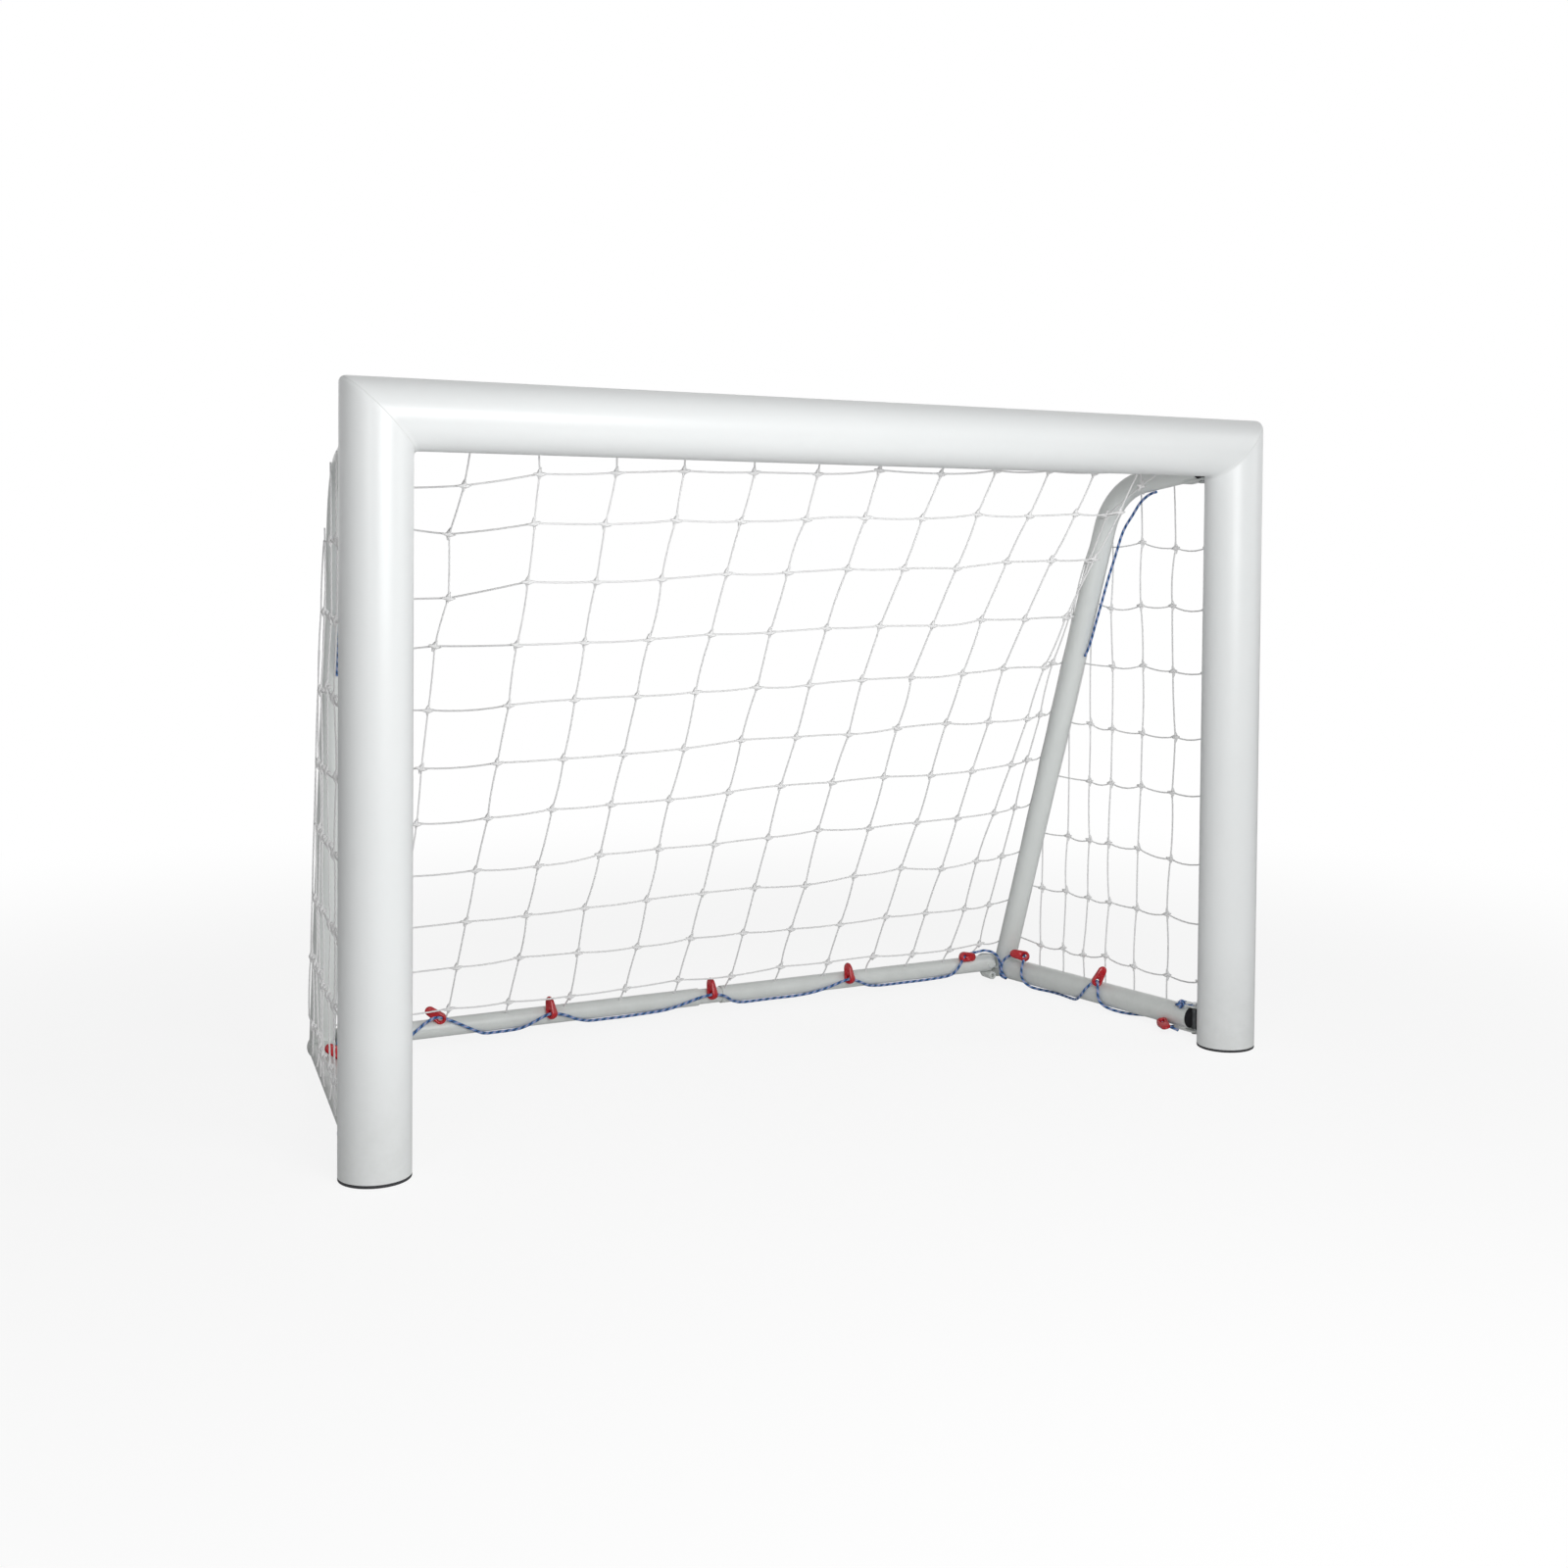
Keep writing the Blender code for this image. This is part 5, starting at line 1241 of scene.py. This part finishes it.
HOOK_ANGLE = math.radians(-17)
HOOK_REACH = POST_RADIUS + GAP + CLIP_WIDTH / 2
CROSSBAR_HOOKS, POST_HOOKS = (-0.72, -0.36, 0.0, 0.36, 0.72), (0.40, 0.82)
HEAD_BACK, HEAD_Z = HOOK_REACH * math.cos(HOOK_ANGLE), CORNER_Z + HOOK_REACH * math.sin(HOOK_ANGLE)
for number, x in enumerate(CROSSBAR_HOOKS, 1):
    hole = place(x, HEAD_BACK, HEAD_Z)
    pebble("crossbar_hook_%d" % number, hole, BACK + 0.6 * UP, ACROSS, "front_frame")
for label, sign in SIDES.items():
    for number, z in enumerate(POST_HOOKS, 1):
        hole = place(sign * HALF_SPACING, HOOK_REACH, z)
        pebble("post_hook_%s_%d" % (label, number), hole, sign * ACROSS + 0.3 * BACK, UP, "front_frame")
print("clips", len(REAR_CLIPS + LEFT_SIDE_CLIPS + RIGHT_SIDE_CLIPS))
print("hooks", len(CROSSBAR_HOOKS) + 2 * len(POST_HOOKS))

# %% [markdown]
# The net is square mesh, knotted by hand or machine, with knots about 12 cm apart. Its knots are
# worked out first, as a grid of points in rows and columns. Each string is then a short curve from
# one knot to the next that sags a little, and hundreds of them are skinned as one mesh, with six
# sides each.

# %% Knots of the back net
random = np.random.default_rng(8)
TWINE_RADIUS = 0.0017
ROW_Z = np.array([1.190, 1.100, 0.998, 0.880, 0.767, 0.650, 0.540, 0.425, 0.310, 0.200, 0.100])
ROW_RISE = np.array([0.028, 0.033, 0.035, 0.035, 0.035, 0.035, 0.035, 0.035, 0.030, 0.012, 0.008])
LEFT_X = np.array([-0.056, -0.182, -0.308, -0.435, -0.565])
LEFT_DROOP = np.array([(0.007, 0, -0.025), (0.009, 0, -0.028), (0.008, 0, -0.020)])
RIGHT_X = np.array([0.067, 0.189, 0.308, 0.424, 0.530, 0.632])
BACK_TOP, TOP_Z, BACK_SLOPE = 0.085, 1.185, 0.5455
SPREAD_FROM, SPREAD_OVER, SPREAD, SPREAD_X = 0.8, 0.39, 1.085, -0.589
TOP_EDGE_ALONG, TOP_EDGE_Z = (0.150, 0.302), (1.168, 1.10)
FOOT_ANGLE = 55.0
TWINE_LIE = TWINE_RADIUS + GAP
UNEVEN, UNEVEN_WAY = 0.0028, (1, 0.6, 1)


def back_at(z):
    return BACK_TOP + BACK_SLOPE * (TOP_Z - z)


def leg_along(z):
    return LEG_FOOT - math.tan(LEG_LEAN) * (np.asarray(z) - SIDE_BAR_Z)


def half_net(sign, columns, drop, shares):
    """Knots [row, column]: the flat middle, then straight on from the crease to the leg.

    The upper rows spread a little, so that their columns stand further apart than those below.
    """
    spread = np.clip((ROW_Z - SPREAD_FROM) / SPREAD_OVER, 0, 1)[:, None]
    wide = SPREAD_X + (columns - LEFT_X[-1]) * SPREAD
    x = columns * (1 - spread) + wide * spread
    z = ROW_Z[:, None] + ROW_RISE[:, None] * x
    middle = place(x, back_at(z), z)
    crease = middle[:, -1]
    leg_z = crease[:, 2] - drop
    leg_z[:2] = TOP_EDGE_Z
    along = leg_along(leg_z)
    along[:2] = TOP_EDGE_ALONG
    on_leg = on_side(sign, along, 0, leg_z)
    leg_way = unit(UP * math.cos(LEG_LEAN) - side_way(sign) * math.sin(LEG_LEAN))
    behind = unit(np.cross(crease - on_leg, leg_way)) * sign
    behind[0] = -out_way(sign)
    behind[1] = unit(UP + BACK * 0.8)
    edge = on_leg + behind * (SIDE_RADIUS + TWINE_LIE)
    between = crease[:, None] + (edge - crease)[:, None] * np.asarray(shares)[:, None]
    foot, _ = on_rear_bar(columns, np.full(len(columns), FOOT_ANGLE), BAR_RADIUS + TWINE_LIE)
    knots = np.concatenate([middle, between], 1)
    knots += random.normal(0, UNEVEN, knots.shape) * UNEVEN_WAY
    return knots, edge, foot


left_knots, left_edge, left_foot = half_net(-1, LEFT_X, 0.030, (0.46, 0.80))
left_knots[:len(LEFT_DROOP), len(LEFT_X):] += LEFT_DROOP[:, None]
right_knots, right_edge, right_foot = half_net(1, RIGHT_X, 0.013, (0.52,))
print("back net", left_knots.shape[:2], "and", right_knots.shape[:2], "knots")

# %% [markdown]
# Strings and knots share two helpers. A string's curve is the straight line between its ends plus
# a parabola of sag. A knot in such a net shows as a small star with four points, where both strings
# thicken, so two short spindles are drawn at every crossing.

# %% Strings and knots
STRING_STEPS = np.linspace(0, 1, 6)
STRING_SIDES, STRING_DRIFT, STRING_HINT = 6, 0.0014, (0.15, 0.85, 0.5)
KNOT_HALF, KNOT_RADIUS, KNOT_TAPER, KNOT_BULGE, KNOT_LEAN = 0.0125, 0.0052, 0.72, 0.4, 14
KNOT_STEPS = np.linspace(-1, 1, 7)
KNOT_ROWS = KNOT_RADIUS * (1 - KNOT_TAPER * np.abs(KNOT_STEPS))


def strings(starts, ends, sag):
    """Point = start + (end - start) t - up * sag * 4 t (1 - t), with a slight drift sideways."""
    starts, ends = np.reshape(starts, (-1, 3)), np.reshape(ends, (-1, 3))
    t = STRING_STEPS[None, :, None]
    drift = random.normal(0, STRING_DRIFT, (len(starts), 1, 3))
    return starts[:, None] + (ends - starts)[:, None] * t + (drift - UP * sag) * 4 * t * (1 - t)


def crossings(knots, facing):
    """Two spindles through each knot, along the strings, one bulging forwards and one back."""
    knots = np.reshape(knots, (-1, 3))
    flat = unit(np.cross(UP, facing))
    rise = np.cross(facing, flat)
    lean = np.radians(random.uniform(-KNOT_LEAN, KNOT_LEAN, (len(knots), 1)))
    t = KNOT_STEPS[None, :, None]
    bulge = facing * KNOT_RADIUS * (1 - t**2) * KNOT_BULGE
    strands = []
    for level, turn in ((1, lean), (-1, lean + np.pi / 2)):
        line = flat * np.cos(turn) + rise * np.sin(turn)
        strands.append(knots[:, None] + line[:, None] * t * KNOT_HALF + bulge * level)
    return np.concatenate(strands)


def tubes(lines):
    return carry(lines, STRING_HINT, TWINE_RADIUS, STRING_SIDES)


def twine(name, lines, knots, facing, body, **marks):
    """All the strings of one part of the net as one mesh, and all its knots as another."""
    stars = carry(crossings(knots, facing), facing, KNOT_ROWS[None], STRING_SIDES)
    skin(name, tubes(lines), NET_TWINE, body, **marks)
    skin(name + "_knots", stars, NET_TWINE, body)
    print(name, len(lines), "strings,", len(stars) // 2, "knots")


# %% [markdown]
# The back net hangs from the head rope, comes down to the rear bar in a plane, and is creased where
# it turns to reach the legs. When a side folds in, the real net is unhooked from the rear bar and
# hangs down; here each part of the net only gets its own copy of its meshes.

# %% Back net
ACROSS_SAG, REACH_SAG, CORNER_DROP = 0.0015, 0.003, 0.004
BACK_FACING = unit(np.array([0, -1.0, -BACK_SLOPE]))


def hang_as_curtain(name):
    """Gives both meshes of a part of the net their own copy of the mesh data."""
    for part in (name, name + "_knots"):
        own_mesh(bpy.data.objects[part])


def back_half(label, knots, edge, foot, neighbour=None):
    """Strings across, down, on to the leg, down the leg, to the rear bar, and to its corner."""
    columns = len(foot)
    corner = (foot[-1] + edge[-1]) / 2 - UP * CORNER_DROP
    lines = [
        strings(knots[:, :-1], knots[:, 1:], ACROSS_SAG),
        strings(knots[:-1], knots[1:], 0.0),
        strings(knots[:, -1], edge, REACH_SAG),
        strings(edge[1:-1], edge[2:], 0.0),
        strings(knots[-1, :columns], foot, 0.0),
        strings(knots[-1, columns:], np.repeat(corner[None], knots.shape[1] - columns, 0), 0.0),
    ]
    if neighbour is not None:
        lines.append(strings(neighbour[:, 0], knots[:, 0], ACROSS_SAG))
    name = "knotted_back_net_" + label
    twine(
        name, np.concatenate(lines), knots, BACK_FACING, "front_frame", slot="net_twine",
        replaces=("net_back_" + label,),
    )
    hang_as_curtain(name)


back_half("left", left_knots, left_edge, left_foot)
back_half("right", right_knots, right_edge, right_foot, neighbour=left_knots)

# %% [markdown]
# A head rope runs through the hooks behind the crossbar, and a short string goes down from it to
# each knot of the top row.

# %% Head rope
HEAD_SPREAD, HEAD_MIDDLE, HEAD_END, HEAD_SAG = 1.02, 0.005, 0.885, 0.002

for label, knots in (("left", left_knots[0]), ("right", right_knots[0])):
    head = place(knots[:, 0] * HEAD_SPREAD, HEAD_BACK, HEAD_Z)
    middle, end = place(np.array([[HEAD_MIDDLE], [SIDES[label] * HEAD_END]]), HEAD_BACK, HEAD_Z)
    rope = np.concatenate([middle, head, end])
    name = "knotted_head_strip_" + label
    lines = np.concatenate([strings(head, knots, 0.0), strings(rope[:-1], rope[1:], HEAD_SAG)])
    twine(name, lines, head, -BACK, "front_frame")
    hang_as_curtain(name)

# %% [markdown]
# The side nets hang outside the side frames, from the arm and the leg down to the ground bar, and
# their front edge runs down behind the post. They are slack, so they belly outwards a little. The
# short strings between the post and the side frame cross the hinge; they are one fixed mesh that
# hangs on no body.

# %% Side nets
SIDE_ROWS = np.array([1.05, 0.92, 0.78, 0.64, 0.51, 0.37, 0.24, 0.11])
SIDE_COLUMNS = np.array([0.11, 0.21, 0.31, 0.40, 0.47, 0.54, 0.62])
FRONT_EDGE, FRONT_EDGE_OUT, FRONT_FOOT_Z = 0.075, 0.004, 0.030
OFF_SIDE_TUBE = SIDE_RADIUS + TWINE_RADIUS + 0.0004
BELLY = {"left": 0.004, "right": 0.012}
BELLY_DEPTH, BELLY_FROM, BELLY_HEIGHT, BELLY_POWER = 0.6, 0.06, 1.1, 0.7
SIDE_UNEVEN, SIDE_UNEVEN_WAY = 0.004, (0.5, 1, 1)
LEG_ROOM = 0.035
UNDER_ARM_UNTIL, BEND_DROP = 0.33, 0.05
SIDE_FOOT_Z = 0.048
ROW_SAG, EDGE_SAG, HINGE_SAG = 0.006, 0.002, 0.003


def side_knots(label, back, z):
    """out = off the tube + belly * sin(height share * pi) * sin(depth share * pi) to a power."""
    back, z = np.broadcast_arrays(back, z)
    depth_share = np.clip((back - FRONT_EDGE) / BELLY_DEPTH, 0, 1)
    height_share = np.clip((z - BELLY_FROM) / BELLY_HEIGHT, 0, 1)
    swell = BELLY[label] * np.sin(height_share * np.pi) * np.sin(depth_share * np.pi) ** BELLY_POWER
    along = (back - HINGE_BACK) / math.cos(TOE_IN)
    points = on_side(SIDES[label], along.ravel(), (OFF_SIDE_TUBE + swell).ravel(), z.ravel())
    return points.reshape(*back.shape, 3)


def top_of_columns():
    """How high each column starts: at the arm, or further back where the bend and the leg are."""
    along = (SIDE_COLUMNS - HINGE_BACK) / math.cos(TOE_IN)
    on_arm = ARM_Z - math.tan(ARM_FALL) * along
    on_leg = SIDE_BAR_Z + (LEG_FOOT - along) / math.tan(LEG_LEAN)
    return np.where(SIDE_COLUMNS < UNDER_ARM_UNTIL, on_arm, np.minimum(on_leg, on_arm - BEND_DROP))


def side_net(label, sign):
    """Only the knots in front of the leg are kept. Rows end on the leg, and columns on both bars."""
    edge_back = HINGE_BACK + leg_along(SIDE_ROWS) * math.cos(TOE_IN)
    grid = side_knots(label, SIDE_COLUMNS[None], SIDE_ROWS[:, None])
    grid = grid + random.normal(0, SIDE_UNEVEN, grid.shape) * SIDE_UNEVEN_WAY
    inside = SIDE_COLUMNS[None] < edge_back[:, None] - LEG_ROOM
    beside, below = inside[:, :-1] & inside[:, 1:], inside[:-1] & inside[1:]
    lines = [
        strings(grid[:, :-1][beside], grid[:, 1:][beside], ROW_SAG),
        strings(grid[:-1][below], grid[1:][below], 0.0),
    ]
    on_edge = side_knots(label, edge_back, SIDE_ROWS)
    rows, columns = np.arange(len(SIDE_ROWS)), np.arange(len(SIDE_COLUMNS))
    lines.append(strings(grid[rows, inside.sum(1) - 1], on_edge, EDGE_SAG))
    lines.append(strings(on_edge[:-1], on_edge[1:], 0.0))
    rope_z = np.array([HEAD_Z, *SIDE_ROWS, FRONT_FOOT_Z])
    rope = place(sign * (HALF_SPACING + FRONT_EDGE_OUT), FRONT_EDGE, rope_z)
    front = rope[1:-1]
    hinge_strings = strings(front, grid[:, 0], HINGE_SAG)
    top = side_knots(label, SIDE_COLUMNS, top_of_columns())
    lines.append(strings(top, grid[inside.argmax(0), columns], 0.0))
    lines.append(strings(grid[-1], side_knots(label, SIDE_COLUMNS, SIDE_FOOT_Z), 0.0))
    twine(
        "knotted_side_net_" + label, np.concatenate(lines), grid[inside], -out_way(sign),
        "side_" + label, slot="net_twine", replaces=("net_side_" + label,),
    )
    piece = skin("hinge_strings_" + label, tubes(hinge_strings), NET_TWINE, None)
    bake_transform(piece)
    twine("front_edge_rope_" + label, strings(rope[:-1], rope[1:], 0.0), front, -BACK, "front_frame")


for label, sign in SIDES.items():
    side_net(label, sign)

# %% [markdown]
# The goal stands on a pale floor in plain, soft studio light: one large lamp in front and above,
# one on each side, and an even white world. The camera sees the world as plain white, and so do
# mirrors and glass, while the light that the world gives is weaker. The floor takes the object's
# shadow and is otherwise almost as white as the world behind it.

# %% Floor, world and lights
FLOOR_HALF = 30.0
GRAIN_MM = 900.0
WHITE = (1, 1, 1, 1)
WORLD_LIGHT = 0.22
NEAR_GLOW, NEAR, FAR = 0.86, 1.2, 3.6

floor_mesh = bpy.data.meshes.new("studio_floor")
h = FLOOR_HALF
floor_mesh.from_pydata([(-h, -h, 0), (h, -h, 0), (h, h, 0), (-h, h, 0)], [], [(0, 1, 2, 3)])
floor = bpy.data.objects.new("studio_floor", floor_mesh)
bpy.context.scene.collection.objects.link(floor)

material, tree, shader, coordinates = begin("pale_studio_floor")
metres = coordinates[METRES]
grain = add(tree, "TexNoise", {"Vector": metres, "Scale": per_metre(GRAIN_MM), "Detail": 2.0})
tone = add(tree, "Mix", {
    FACTOR: grain, FIRST: colour("#F6F6F6"), SECOND: colour("#FBFBFB"),
}, data_type="RGBA")
fill(tree, shader, {"Base Color": tone, "Roughness": 0.9})
seen = add(tree, "LightPath", {})
white = add(tree, "Emission", {"Color": WHITE, "Strength": 1.0})
reach = add(tree, "VectorMath", {0: metres}, operation="LENGTH")
glow = add(tree, "MapRange", {
    "Value": reach, "From Min": NEAR, "From Max": FAR, "To Min": NEAR_GLOW, "To Max": 1.0,
}, interpolation_type="SMOOTHSTEP")
share = add(tree, "Math", {0: seen.outputs["Is Camera Ray"], 1: glow}, operation="MULTIPLY")
mixed = add(tree, "MixShader", {0: share, 1: shader, 2: white})
fill(tree, tree.nodes["Material Output"], {"Surface": mixed})
floor_mesh.materials.append(material)

world = bpy.data.worlds.new("white_studio")
bpy.context.scene.world = world
world.use_nodes = True
tree = world.node_tree
seen = add(tree, "LightPath", {})
plain = seen.outputs["Is Camera Ray"]
for other in ("Is Glossy Ray", "Is Transmission Ray"):
    plain = add(tree, "Math", {0: plain, 1: seen.outputs[other]}, operation="MAXIMUM")
strength = add(tree, "MapRange", {"Value": plain, "To Min": WORLD_LIGHT, "To Max": 1.0})
fill(tree, tree.nodes["Background"], {"Color": WHITE, "Strength": strength})

LAMPS = [
    ("front_lamp", (-0.3, -2.8, 1.45), (-0.2, 0.0, 0.9), (1.6, 1.2), 38.5),
    ("left_lamp", (-3.2, -3.4, 1.8), (-0.2, 0.0, 0.7), (1.0, 1.6), 16.0),
    ("right_lamp", (4.0, -2.6, 2.4), (0.2, 0.0, 0.6), (0.8, 2.6), 20.0),
]
for name, spot, aim, size, power in LAMPS:
    data = bpy.data.lights.new(name, "AREA")
    data.shape = "RECTANGLE"
    data.size, data.size_y = size
    data.energy = power
    lamp = bpy.data.objects.new(name, data)
    lamp.location = spot
    lamp.rotation_euler = (Vector(aim) - Vector(spot)).to_track_quat("-Z", "Y").to_euler()
    bpy.context.scene.collection.objects.link(lamp)
bpy.context.scene.view_settings.view_transform = "Standard"
print("lamps", len(LAMPS))
